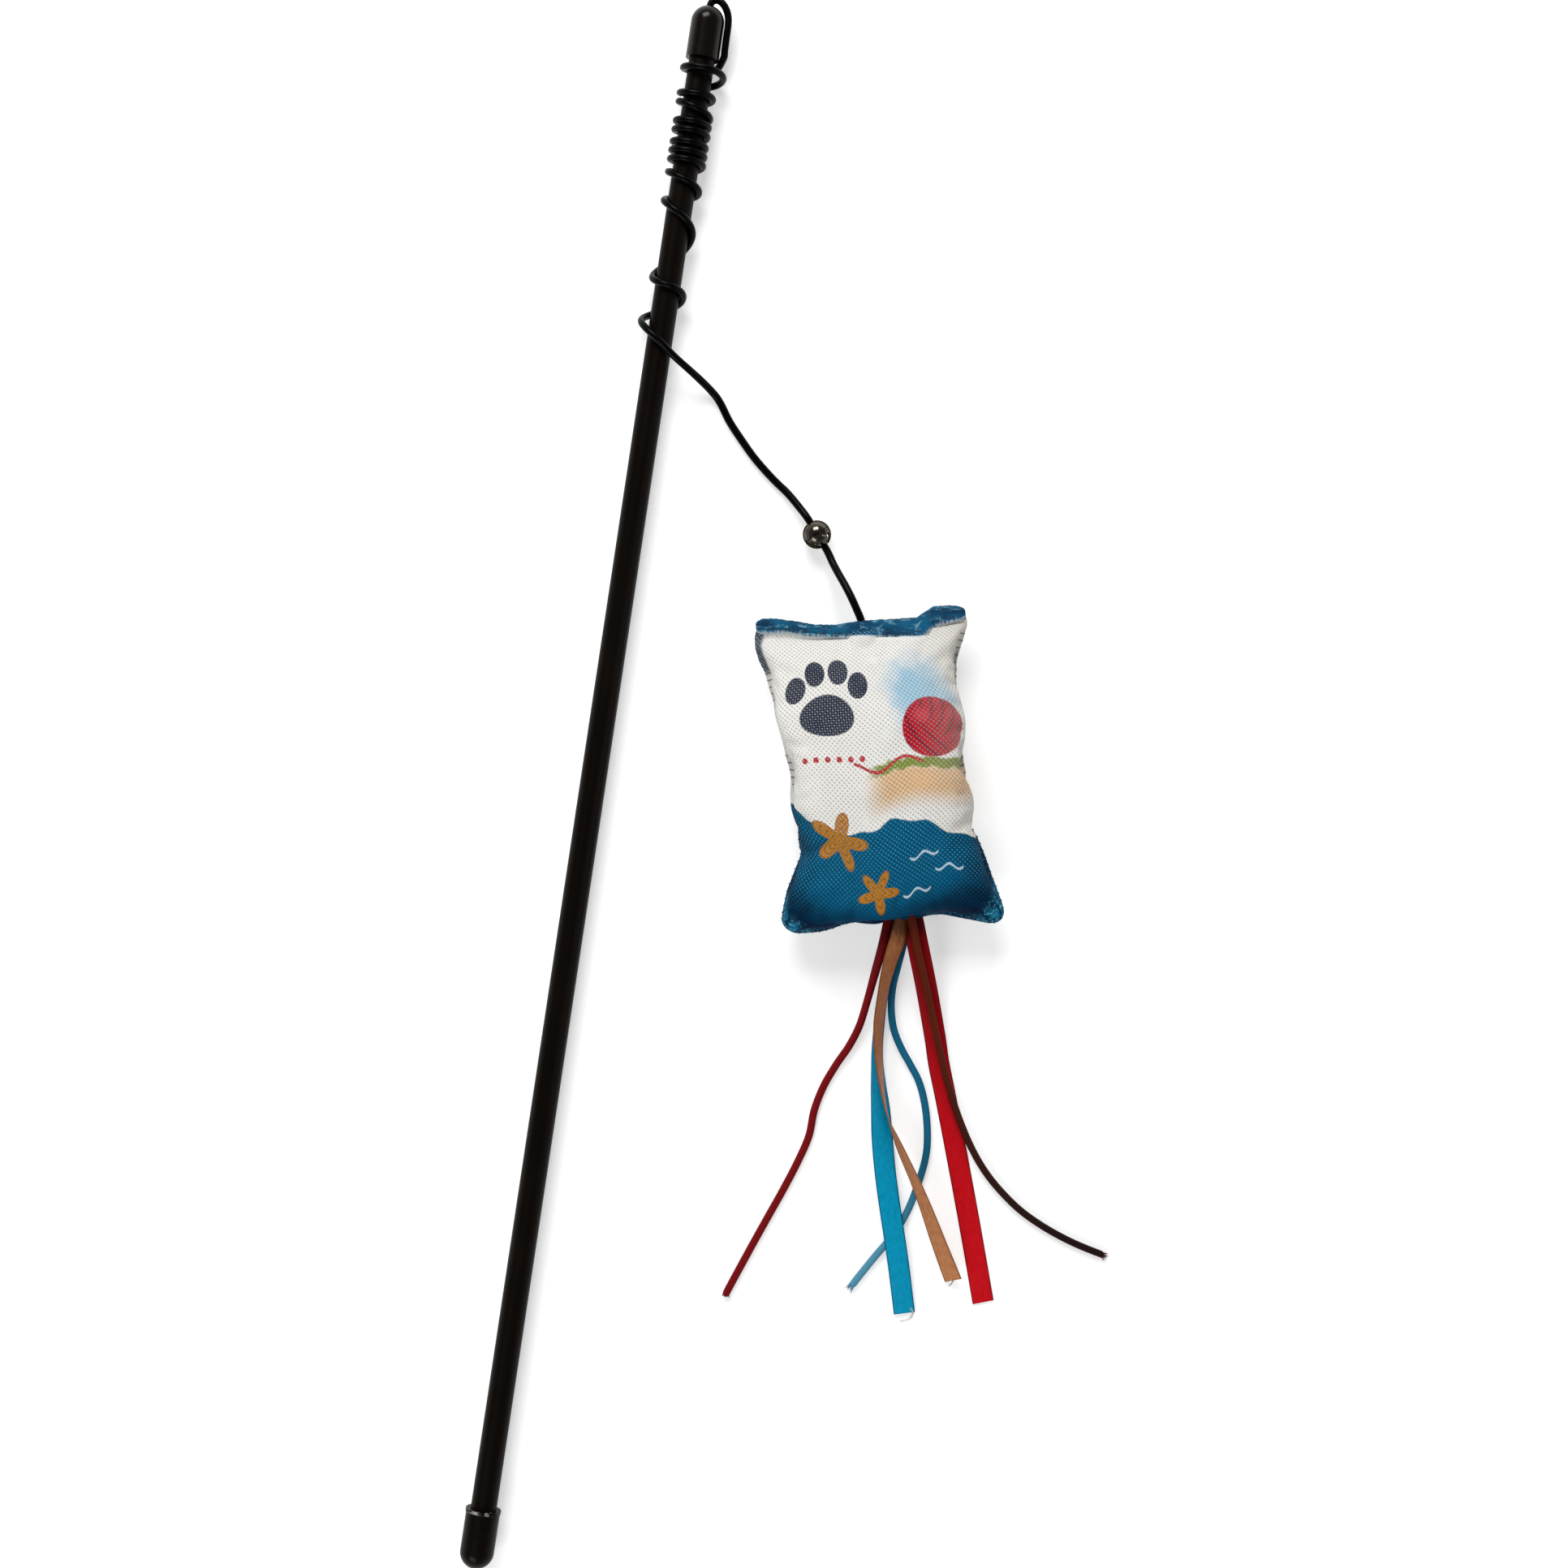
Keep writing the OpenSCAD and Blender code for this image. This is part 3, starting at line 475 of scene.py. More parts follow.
def hem_cloth():
    """The folded band, with fuzzy, pale lower edges and pale specks with a painted highlight along its top;
    v runs round it from its lower front edge.
    """
    p = Paint("toy_hem_cloth", srgb(6, 84, 130), 0.75, 0, 0.2)
    u, v = p.uv(100, 1)
    blot, fine = p.noise(11, 4, (1, 0.5, 1), True), p.noise(130, 3, (1, 0.05, 1), True)
    patch = p.noise(44, 4, (0.6, 0.26, 1), True)
    grit = p.noise(1500, 3)
    edge = (v - 0.5).abs()
    low = (edge + (fine - 0.5) * 0.2).step(0.35, 0.44)
    top = (edge * -1 + (fine - 0.5) * 0.14).step(-0.08, -0.01)
    p.top = srgb(8, 92, 130)
    p.lay(srgb(0, 50, 82), (blot * 0.9 + grit * 0.2).step(0.4, 0.7))
    p.lay(srgb(118, 176, 196), (patch * 0.8 + grit * 0.25 + fine * 0.1).step(0.6, 0.74) * 0.7)
    # pale fuzz along its lower edges, and a painted highlight in pale specks along its top
    p.lay(srgb(214, 224, 228), (low * 0.8 + top * 0.45) * (grit * 0.8 + 0.4).min(1))
    p.bump(grit * 1.0 + fine * 0.8, 0.8, 0.0003)
    return p.mat


hem_mat = hem_cloth()
print_mat = printed()


# ---- Meshes
def between(a, b, c, d, t):
    """A smooth curve from b, where t is 0, to c, where it is 1; a comes before them and d after."""
    bent, curled = 2 * a - 5 * b + 4 * c - d, 3 * (b - c) + d - a
    return b + (c - a) * t / 2 + bent * t * t / 2 + curled * t ** 3 / 2


def spline(points, step):
    """A smooth line through the points, with all their columns, at about that step in place."""
    P = np.asarray(points, float)
    Q = np.vstack([2 * P[0] - P[1], P, 2 * P[-1] - P[-2]])
    out = []
    for i in range(1, len(Q) - 2):
        n = max(1, ceil(norm((Q[i + 1] - Q[i])[:3]) / step))
        out += [between(*Q[i - 1:i + 3], k / n) for k in range(n)]
    return np.array(out + [P[-1]])


def unit(v):
    return v / norm(v)


def distance(line, point):
    return norm(line - point, axis=1)


def smooth01(x, a, b):
    t = np.clip((x - a) / (b - a), 0, 1)
    return t * t * (3 - 2 * t)


def arc_lengths(line):
    return np.concatenate([[0], np.cumsum(norm(np.diff(line[:, :3], axis=0), axis=1))])


def headings(line):
    d = np.gradient(line[:, :3], axis=0)
    return d / norm(d, axis=1)[:, None]


def turning_frames(line):
    """Two directions square to the line at each point that turn as little as they can."""
    d = headings(line)
    side = np.cross(d[0], [0, 0, 1.0])
    A = []
    for t in d:
        side = unit(side - t * side.dot(t))
        A.append(side)
    return np.array(A), np.cross(A, d)


def to_object(name, verts, faces, uvs, mat):
    me = bpy.data.meshes.new(name)
    me.from_pydata((np.asarray(verts, float) * MM).tolist(), [], faces)
    me.uv_layers.new(name="UVMap").data.foreach_set("uv", np.asarray(uvs, float).reshape(-1))
    me.shade_smooth()
    me.materials.append(mat)
    me.update()
    return new_object(name, me)


def lattice(P, u, v):
    """Quads round a row of rings, with closed ends, as (verts, faces, uvs): u round the rings, v along."""
    rows, cols = P.shape[:2]
    faces, uvs = [], []
    for i in range(rows - 1):
        for j in range(cols):
            a, b = i * cols + j, i * cols + (j + 1) % cols
            faces.append((a, b, b + cols, a + cols))
            uvs += [(u[j], v[i]), (u[j + 1], v[i]), (u[j + 1], v[i + 1]), (u[j], v[i + 1])]
    faces += [tuple(range(cols))[::-1], tuple(range((rows - 1) * cols, rows * cols))]
    uvs += [(u[j], v[0]) for j in range(cols)][::-1] + [(u[j], v[-1]) for j in range(cols)]
    return P.reshape(-1, 3), faces, uvs


def joined(parts):
    verts, faces, uvs = [], [], []
    for v, f, t in parts:
        faces += [tuple(k + len(verts) for k in q) for q in f]
        verts += [tuple(p) for p in v]
        uvs += list(t)
    return verts, faces, uvs


def tube_parts(line, radius, sides):
    """A round tube with rounded ends on a line; radius is one number or one for each point."""
    line = np.asarray(line)[:, :3]
    A, B = turning_frames(line)
    d = headings(line)
    r = np.broadcast_to(np.asarray(radius, float), len(line))
    angle = np.arange(sides) * tau / sides
    cosines, sines = np.cos(angle)[:, None], np.sin(angle)[:, None]

    def ring(i, size, off):
        return line[i] + d[i] * off + size * (cosines * A[i] + sines * B[i])

    domed = (1.45, 1.1, 0.6)
    rings = [ring(0, r[0] * cos(a), -r[0] * sin(a)) for a in domed]
    rings += [ring(i, r[i], 0) for i in range(len(line))]
    rings += [ring(-1, r[-1] * cos(a), r[-1] * sin(a)) for a in domed[::-1]]
    v = np.pad(arc_lengths(line) / 100, len(domed), mode="edge")
    return lattice(np.array(rings)[:, ::-1], np.linspace(0, 1, sides + 1), v)


def wobble(p, scale):
    """Smooth noise at a place, -1 to 1."""
    return noise.noise(Vector((p[0] * scale, p[1] * scale, p[2] * scale)))


# ---- Elastic cord: crown, winding and lead as one length
turn_shares = [
    0.008, 0.036, 0.052, 0.117, 0.125, 0.146, 0.189, 0.209, 0.2175, 0.238, 0.248, 0.277, 0.285,
    0.3055, 0.314, 0.3345, 0.343, 0.376, 0.429, 0.469, 0.568, 0.720, 0.771, 0.865, 1]
loose_shares = [0.6, 0.1, 1.1, 0.05] + [0] * 19 + [0.7, 0]
tip_route = [
    [0, -2, 0], [0, 0.2, 0], [0.4, 1.3, 0], [1.45, 2, 0.1], [2.9, 1.8, 0.2], [4.3, 0.7, 0.3],
    [5.4, -0.9, 0.3], [6.1, -2.8, 0.3], [6.4, -5.2, 0.3], [6.45, -8.6, 0.2], [6.5, -12.6, 0],
    [6.5, -15, -0.7]]
lead_route = [
    [6.7, -93.2, 3.9], [9.9, -95.1, 2.3], [14.3, -97.7, -1], [18, -100.2, -3.6],
    [21, -103, -4.8], [24.7, -108.3, -5], [29.4, -113.6, -5], [34.6, -118.9, -5],
    [40.7, -124, -4.9], [45.9, -127.8, -4.3], [50.4, -131.9, -3], [53.5, -135.1, -1.8],
    [56.8, -139.3, -1.7], [60.5, -143.6, -1.6], [63.1, -147.6, -0.4], [65.5, -151, 1.9],
    [67.8, -154.1, 3.8], [70, -157.3, 5.1], [72.1, -160.6, 5.7]]


def smooth_at(values, place):
    """The list's value at a place between its numbers."""
    k = min(int(place), len(values) - 2)
    b, c = values[k], values[k + 1]
    a = values[k - 1] if k > 0 else 2 * b - c
    d = values[k + 2] if k + 2 < len(values) else 2 * c - b
    return between(a, b, c, d, place - k)


def winding_at(h):
    """A place on the winding, h half turns from its start."""
    r = WRAP_R + 2 * CORD_R * max(0, smooth_at(loose_shares, h))
    a = pi * h
    y = TIP_MOUTH - WRAP_LEN * smooth_at(turn_shares, h)
    return np.array([r * cos(a), y, max(-r * sin(a), -WRAP_R)])


FIRST, LAST, PER_HALF = 0.35, 23.6, 16
halves = np.linspace(FIRST, LAST, int((LAST - FIRST) * PER_HALF))
wound = np.array([winding_at(h) for h in halves])
wound_start = wound[0] - 2 * unit(wound[1] - wound[0])
wound_end = wound[-1] + 2 * unit(wound[-1] - wound[-2])
toy_x = np.array([cos(TOY_TURN), sin(TOY_TURN), 0])
toy_y = np.array([-sin(TOY_TURN), cos(TOY_TURN), 0])
tip = np.array(tip_route) + [0, TIP_TOP, 0]
lead = np.array(lead_route) + [0, TIP_MOUTH, 0]
inside_toy = [TOY_AT - 1.2 * toy_y, TOY_AT - 3 * toy_y]
cord_points = np.vstack([tip, [wound_start], wound, [wound_end], [LEAD_HINGE], lead, inside_toy])
cord_line = spline(cord_points, 0.6)
# it is drawn a little thicker than the solid, most so where it is free, and the bell's holes pinch it
WOUND_SHARE, FREE_MORE = 1.12, 0.09
free = arc_lengths(cord_line)
free -= free[np.argmin(distance(cord_line, LEAD_HINGE))]
cord_r = CORD_R * (WOUND_SHARE + FREE_MORE * smooth01(free, 2, 14))
cord_r -= FREE_MORE * CORD_R * np.exp(-(distance(cord_line, BELL_AT) / 5) ** 2)
lowest = FLOOR + CORD_CLEAR + cord_r
cord_line[:, 2] = np.maximum(cord_line[:, 2], lowest)
# where a loose turn comes down to the surface it bends softly
down = np.convolve(np.abs(np.diff(cord_line[:, 2] <= lowest, prepend=False)), np.ones(9), "same")
softened = np.convolve(np.clip(down, 0, 1), np.ones(5) / 5, "same")[:, None]
eased = cord_line.copy()
for _ in range(8):
    eased[1:-1] = (eased[:-2] + 2 * eased[1:-1] + eased[2:]) / 4
cord_line += softened * (eased - cord_line)
cord = to_object("elastic_cord", *tube_parts(cord_line, cord_r, 16), elastic_mat)
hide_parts("cord_tip_loop", "cord_winding", "cord_lead")
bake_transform(cord)
round(arc_lengths(cord_line)[-1] * MM, 4)


# ---- Streamers: routes from the middle of the toy's lower seam, close to those in the part's source
# A ribbon's last two columns are its twist and the open share of its width
red_ribbon_route = [row + [0, 1] for row in [
    [6.5, 1.6, 11.4], [10, -7.8, 10.2], [13.4, -16.8, 7.6], [16, -24, 4.9],
    [19.7, -34.9, 2.1], [21.9, -42.1, 1], [25.9, -53, 0.4], [31, -67.4, 0.3],
    [36, -81.8, 0.3], [40.9, -96.2, 0.3], [45.7, -110.7, 0.4], [46.6, -113.3, 0.5]]]
blue_ribbon_route = [
    [2.6, 0.1, 11.6, 0, 0.42], [1.8, -10, 10, 0, 0.4], [1.4, -20, 7.4, 0, 0.38],
    [1.6, -30, 4.6, 0, 0.38], [2.4, -41, 2.5, 0, 0.47], [4.2, -50.5, 1.4, 0, 0.66],
    [6.1, -58.5, 0.9, 0, 0.86], [8.1, -68, 1.2, 0, 1], [10, -76, 1.7, 0, 1],
    [12.1, -83.6, 2.6, 0, 1], [14.2, -90.6, 2.9, 0, 1], [16.5, -98, 2.7, 0, 1],
    [19.2, -107, 2.3, 0, 1], [22, -117, 1.3, 0, 1], [22.9, -120.2, 1, 0, 1]]
tan_ribbon_route = [row + [1] for row in [
    [3.3, -0.4, 13.6, 44], [2.8, -6, 14, 40], [1.8, -12, 13.8, 48], [1.1, -21, 11.8, 58],
    [1.3, -31.5, 9.1, 60], [2.9, -42, 6.9, 68], [5.4, -51.5, 5.6, 78], [8.4, -59.8, 5.2, 88],
    [11.5, -65.6, 5.2, 102], [14.6, -70.6, 5.7, 110], [19.9, -78.6, 6.4, 116], [24.9, -87.3, 6.3, 124],
    [29.6, -95.8, 4.9, 132], [34.6, -104.8, 3, 139], [36.2, -107.6, 2.8, 140]]]
ON_FLOOR = 1.1
red_lace_route = [
    [-0.7, -1.2, 11.6], [-1.2, -8, 11.2], [-2.2, -17, 8.6], [-3.2, -26.6, 5.2], [-4.3, -34.2, 3.1],
    [-6.5, -41, 1.8], [-9.4, -47, 1.2]] + [row + [ON_FLOOR] for row in [
    [-12.3, -54.2], [-14.1, -62], [-14.6, -70.4], [-16.9, -79], [-20, -88], [-23.4, -97],
    [-26.7, -105.8], [-29.7, -114], [-32, -120.4], [-32.6, -122.2]]]
teal_lace_route = [
    [4.6, 0.3, 9.4], [5, -6.6, 8.4], [4.5, -13.6, 6.2], [4.1, -20.6, 3.8], [4.7, -27.2, 2.1],
    [6.5, -33.6, 1.3]] + [row + [ON_FLOOR] for row in [
    [9.6, -39], [13.1, -43.6], [16.5, -48.3], [19.2, -54.4], [21.2, -61.8], [22.2, -70],
    [21.3, -78.8], [19.2, -88.4], [15.8, -96.8], [11.6, -103.6], [7.6, -110.4], [5.8, -113.6]]]
brown_lace_route = [
    [6.4, 0.8, 13.1], [10.3, -9.8, 11.9], [14.6, -20.2, 8.7], [18.8, -31.3, 5.5], [23.4, -42.7, 3.4],
    [28, -53, 2.4], [32.7, -61.6, 2.2], [37.3, -68.5, 2], [42.3, -74.3, 1.7], [48, -79.3, 1.4],
    [53.8, -83.4, 1.2], [60, -86.6, 1.1], [66.7, -89.3, 1.1], [73.5, -91.4, 1.1], [80.3, -93, 1.1]]
ROOT_IN = 2.5  # how far a streamer goes on into the toy
RIBBON_W, RIBBON_DRAWN, RIBBON_THICK, LACE_D = 6.0, 6.6, 0.26, 2.0
RIBBON_COLS, OPEN_MOST, ROLL_MOST = 10, 0.999, 2.2


def ribbon_parts(line):
    """A ribbon along a line with its twist and open share; where it is less than open it is rolled."""
    d = headings(line)
    side = np.cross(d, [0, 0, 1.0])
    side /= norm(side, axis=1)[:, None]
    up = np.cross(side, d)
    twist = np.radians(line[:, 3])[:, None]
    across = np.cos(twist) * side + np.sin(twist) * up
    out = np.cos(twist) * up - np.sin(twist) * side
    share = np.linspace(-1, 1, RIBBON_COLS)
    rings = []
    for i, row in enumerate(line):
        half = 0.02  # half of the angle that its width goes round
        while sin(half) / half > min(OPEN_MOST, row[4]) and half < ROLL_MOST:
            half += 0.01
        r = RIBBON_DRAWN / 2 / half
        bow = 0.05 * sin(i * 0.21) + 0.03 * sin(i * 0.083 + 1)
        rise = r * (1 - cos(half)) * 0.5
        top, under = [], []
        for a in share * half:
            at = row[:3] + r * sin(a) * across[i] + (r * (cos(a) - 1) + rise + bow) * 0.85 * out[i]
            off = (sin(a) * across[i] + cos(a) * out[i]) * RIBBON_THICK / 2
            top.append(at + off)
            under.append(at - off)
        rings.append(top + under[::-1])
    u = list((share + 1) / 2) + list((share[::-1] + 1) / 2) + [0]
    return lattice(np.array(rings), u, arc_lengths(line) / 100)


def loose_thread(name, points, radius):
    """A double thread that hangs off a ribbon's end."""
    parts = []
    for k in range(2):
        line = spline(np.array(points) + [0.25 * k, 0.15 * k, 0.1 * k], 0.4)
        parts.append(tube_parts(line, np.linspace(radius, radius * 0.4, len(line)), 6))
    return to_object(name, *joined(parts), white_thread)


def frayed_end(name, route, way, mat, length):
    """A brush of short strands at the cut end of a lace."""
    parts, count = [], 14
    at, d = np.array(route[-1]) + SEAM_AT, unit(np.array(way))
    side = unit(np.cross(d, [0, 0, 1.0]))
    up = np.cross(side, d)
    for k in range(count):
        a = k * 2.399
        r = sqrt((k + 0.5) / count) * 0.8
        o = r * (cos(a) * side + sin(a) * up)
        long = length * (0.6 + 0.4 * sin(k * 1.7) ** 2)
        splay = o * 0.7 + 0.25 * np.array([sin(k * 2.1), cos(k * 1.3), 0])
        line = spline([at - d * 0.8 + o, at + d * long * 0.45 + o * 1.15, at + d * long + o + splay], 0.4)
        parts.append(tube_parts(line, np.linspace(0.2, 0.1, len(line)), 5))
    return to_object(name, *joined(parts), mat)


def streamer(kind, colour, route, mat, piece=None, thick=0, swell=0):
    """A ribbon, or a lace of that radius that swells where it leaves the toy, with a piece at its end."""
    flat = kind == "ribbon"
    body, slot = f"{colour}_{kind}", ("satin_" if flat else "lace_") + colour
    rows = np.array(route, float)
    rows[:, :3] += SEAM_AT
    hinge, first = rows[0, :3], rows[0].copy()
    first[:3] += ROOT_IN * unit(hinge - rows[1, :3])
    line = spline(np.vstack([[first], rows]), 0.8)
    start = line[0, :3]
    line[:, 2] = np.maximum(line[:, 2], FLOOR + CLOTH_CLEAR + thick)
    if flat:
        parts = ribbon_parts(line)
    else:
        parts = tube_parts(line, thick * (1 + swell * (1 - smooth01(arc_lengths(line), 4, 30))), 14)
    ob = to_object(body, *parts, mat)
    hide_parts(f"{kind}_{colour}")
    d = unit(line[30, :3] - line[4, :3])  # its way out of the seam, from about 3 to 24 mm along
    (hinge + 0.5 * d) * MM
    (hinge + 17 * d) * MM
    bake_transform(ob)
    start * MM
    round(arc_lengths(line)[-1] * MM, 4)
    (line[:, :3] * MM).tolist()
    if piece:
        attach(piece, body)


blue_thread = loose_thread("blue_loose_thread", [
    [121.2, 80.8, -4.9], [122.0, 79.5, -5.2], [121.7, 78.0, -5.6], [120.4, 76.9, -5.8],
    [118.4, 76.2, -5.9]], 0.17)
tan_thread = loose_thread("tan_loose_thread", [
    [132.6, 94.7, -4.0], [133.0, 93.2, -4.8], [133.0, 91.6, -5.5], [132.6, 90.2, -5.8],
    [131.9, 89.2, -5.9]], 0.2)
red_fray = frayed_end("red_lace_end", red_lace_route, [-0.06, -1, 0], lace_red, 1.2)
teal_fray = frayed_end("teal_lace_end", teal_lace_route, [-0.5, -0.87, 0], lace_teal_end, 2.4)
brown_fray = frayed_end("brown_lace_end", brown_lace_route, [0.95, -0.31, 0], lace_brown, 2.2)
streamer("ribbon", "red", red_ribbon_route, satin_red)
streamer("ribbon", "blue", blue_ribbon_route, satin_blue, blue_thread)
streamer("ribbon", "tan", tan_ribbon_route, satin_tan, tan_thread)
streamer("lace", "red", red_lace_route, lace_red, red_fray, 1.18, 0.3)
streamer("lace", "teal", teal_lace_route, lace_teal, teal_fray, 1.12, 0.15)
streamer("lace", "brown", brown_lace_route, lace_brown, brown_fray, 1.1, 0.2)


# ---- Toy: a flat sewn pouch, blown up as cloth, then fitted to the toy's outline
COLS, ROWS = 48, 66
FLAT_W, FLAT_L, HEM = (68.0, 71.0), 97.0, 4.6
BIG, FRAMES = 10.0, 14  # the cloth is blown up at ten times its size, for that many frames
FRONT = np.arange((COLS + 1) * (ROWS + 1)).reshape(ROWS + 1, COLS + 1)
BACK = FRONT.copy()
BACK[1:-1, 1:-1] = len(FRONT.ravel()) + np.arange((COLS - 1) * (ROWS - 1)).reshape(ROWS - 1, COLS - 1)


def flat_grid():
    """Where each grid point was on the flat cloth."""
    u, v = np.meshgrid(np.linspace(-1, 1, COLS + 1), np.linspace(0, 1, ROWS + 1))
    return (FLAT_W[0] + (FLAT_W[1] - FLAT_W[0]) * v) / 2 * u, -FLAT_L * v, u, v


def blown():
    """The front's and the back's points after the pouch is blown up."""
    x, y, u, v = flat_grid()
    w = np.clip((-y - HEM) / (FLAT_L - HEM), 0, 1)
    lift = 3 * (1 - u ** 2) * 4 * w * (1 - w)
    co = np.zeros((BACK.max() + 1, 3))
    for grid, side in ((BACK, -1), (FRONT, 1)):
        co[grid] = np.stack([x, y, side * lift], 2)
    faces = []
    for grid, turn in ((FRONT, -1), (BACK, 1)):
        quads = np.stack([grid[:-1, :-1], grid[:-1, 1:], grid[1:, 1:], grid[1:, :-1]], 2)
        faces += quads.reshape(-1, 4)[:, ::turn].tolist()
    me = bpy.data.meshes.new("pouch")
    me.from_pydata((co * MM * BIG).tolist(), [], faces)
    ob = new_object("pouch", me)
    pins = ob.vertex_groups.new(name="pins")
    pins.add([int(k) for k in np.nonzero(co[:, 1] > -HEM)[0]], 1.0, "REPLACE")
    m = ob.modifiers.new("cloth", "CLOTH")
    s = m.settings
    s.quality, s.mass, s.vertex_group_mass = 8, 0.05, "pins"
    s.tension_stiffness = s.compression_stiffness = s.shear_stiffness = 15
    s.bending_stiffness = 0.5
    s.use_pressure, s.uniform_pressure_force = True, 1.5
    s.effector_weights.gravity = 0
    m.collision_settings.use_collision = False
    m.point_cache.frame_end = FRAMES
    for f in range(1, FRAMES + 1):
        scene.frame_set(f)
    ev = ob.evaluated_get(bpy.context.evaluated_depsgraph_get()).to_mesh()
    got = np.array([p.co for p in ev.vertices]) / BIG / MM
    scene.frame_set(1)
    bpy.data.objects.remove(ob)
    bpy.data.meshes.remove(me)
    return got[FRONT], got[BACK]


def soft_mean(values, reach):
    """The mean of each value and its neighbours up to reach away, the nearer ones more."""
    k = np.hanning(2 * reach + 3)[1:-1]
    wide = np.pad(values, reach, mode="edge")
    return np.convolve(wide, k / k.sum(), mode="valid")


# the toy's outline in its own frame: places along an edge, and how far out the edge is there
LEFT = ([0, 3, 7, 11, 14, 20, 26, 34, 45, 58, 65, 70.5, 75, 81, 87, 91, 100],
        [31.4, 32.3, 33, 32.3, 31, 29.5, 28.8, 27.2, 26.2, 25.2, 25.6, 25.3, 27.7, 30.8, 32.7, 33.4,
         33.6])
RIGHT = ([0, 6, 9.6, 13.2, 16.8, 20.5, 24, 36, 48, 64, 68, 71, 76, 82, 87, 91.5, 95, 100],
         [31.7, 31.9, 30.8, 29.2, 27.7, 27.2, 27, 26.9, 26.8, 26.2, 27.2, 28.8, 30.4, 31.8, 33.2, 34.3,
          34.7, 34.8])
LOW = ([-34, -30, -26, -22, -19, -16, -12, -7, -2, 3, 7, 9.6, 12.7, 16, 20.4, 24.7, 29, 32, 35],
       [-94.2, -94.6, -94.8, -94.9, -94.3, -93.5, -93.1, -93, -93.2, -93.3, -93.3, -93.3, -93.1, -93.3,
        -94.7, -96, -97.3, -97.6, -97.6])
HEM_TOP = ([-31.5, -29.5, -26, -20, -13.9, -7.8, -1.5, 4.7, 10.9, 17.1, 19.8, 22.4, 26.8, 31.3, 33],
           [1.9, 2.1, 1.7, 0.3, -1.4, -2, -1.6, -1.7, -2.1, -2.2, -0.7, 0.6, 0.5, -0.3, -0.8])
HEM_LOW = ([-32, -30.3, -23.4, -17.4, -11.2, -5.1, 1.1, 7.2, 13.4, 17.1, 19.7, 21.7, 24.9, 28.1, 31.7, 33],
           [-2.4, -2.5, -2.9, -4.5, -5.6, -6.2, -6.9, -7.8, -8.8, -9, -7.8, -6.2, -5.3, -4.9, -4.1, -4])
CROWN, BELLY, HALF_LOW, HEM_REACH, CLOTH = 13.9, 11.9, 34.7, 16, 0.5
# creases: from, to, half width and depth
CREASES = [
    (-25.6, -70.6, -15, -67.4, 1.3, 1.3), (-26.4, -74, -17, -80, 1.6, 0.8),
    (27.4, -66, 19, -69.5, 1.4, 0.9),
    (-30, -11, -14, -23, 2.2, 0.9), (29, -13, 16, -21, 2, 0.8), (20, -8, 15, -21, 1.6, 0.8),
    (-6.5, -7, -9, -20, 1.6, 0.5), (7.5, -9, 5.5, -19, 1.4, 0.5), (-31, -92, -19, -83, 1.5, 1),
    (32.5, -94, 21, -85, 1.6, 1), (-12, -91, -11, -84, 1.2, 0.7), (1.5, -90, 2.5, -84, 1.2, 0.6),
    (13, -91, 11.5, -83, 1.2, 0.8), (-27, -36, -18, -39, 1.6, 0.6), (27, -30, 19, -33, 1.5, 0.6),
    (26.8, -50, 20, -48, 1.5, 0.6), (-25.8, -54, -18, -52, 1.4, 0.6)]


def fitted(front, back):
    """Both sheets after their outline, length, crown and belly are set to the toy's own."""
    sheets = [front.copy(), back.copy()]
    low_now = soft_mean(front[-1, :, 1], 5)
    top_z = max(front[:, :, 2].max(), 1e-6)
    for s in sheets:
        target = np.interp(s[-1, :, 0] * HALF_LOW / np.abs(front[-1, :, 0]).max(), *LOW)
        stretch = (target / low_now)[None, :]
        s[:, :, 1] *= 1 + (stretch - 1) * smooth01(-s[:, :, 1], 2, 60)
    edge_l, edge_r = soft_mean(-sheets[0][:, 0, 0], 5), soft_mean(sheets[0][:, -1, 0], 5)
    y_l, y_r = soft_mean(-sheets[0][:, 0, 1], 2), soft_mean(-sheets[0][:, -1, 1], 2)
    k_l = (np.interp(y_l, *LEFT) / edge_l)[:, None]
    k_r = (np.interp(y_r, *RIGHT) / edge_r)[:, None]
    for s, sign in zip(sheets, (1, -1)):
        x = s[:, :, 0]
        w = smooth01(x, -14, 14)
        s[:, :, 0] = x * (k_l * (1 - w) + k_r * w)
        t = np.clip(s[:, :, 2] * sign / top_z, -0.2, 2)
        if sign > 0:
            s[:, :, 2] = CROWN * t
        else:
            t = 1.28 * np.clip(t, 0, 2)
            s[:, :, 2] = -BELLY * t / (1 + t ** 7) ** (1 / 7)
        top = (1 + np.minimum(s[:, :, 1], 0) / HEM_REACH).clip(0, 1) ** 2
        s[:, :, 1] += top * (np.interp(s[:, :, 0], *HEM_TOP) - 0.4)
    return [corners_rounded(s) for s in sheets]


def corners_rounded(P):
    """The same sheet with its four corners drawn in to a radius."""
    out = P.copy()
    for row, col, r in ((0, 0, 3.5), (0, -1, 2.5), (-1, 0, 5.5), (-1, -1, 4.5)):
        e1 = np.abs(P[:, col, 0][:, None] - P[:, :, 0])
        e2 = np.abs(P[row, :, 1][None, :] - P[:, :, 1])
        a, b = np.clip(1 - e1 / r, 0, 1), np.clip(1 - e2 / r, 0, 1)
        inner = (a > 0) & (b > 0)
        da = r * (a - a * np.sqrt(1 - b * b / 2))
        db = r * (b - b * np.sqrt(1 - a * a / 2))
        out[:, :, 0] += np.where(inner, da, 0) * (1 if col == 0 else -1)
        out[:, :, 1] += np.where(inner, db, 0) * (-1 if row == 0 else 1)
    return out


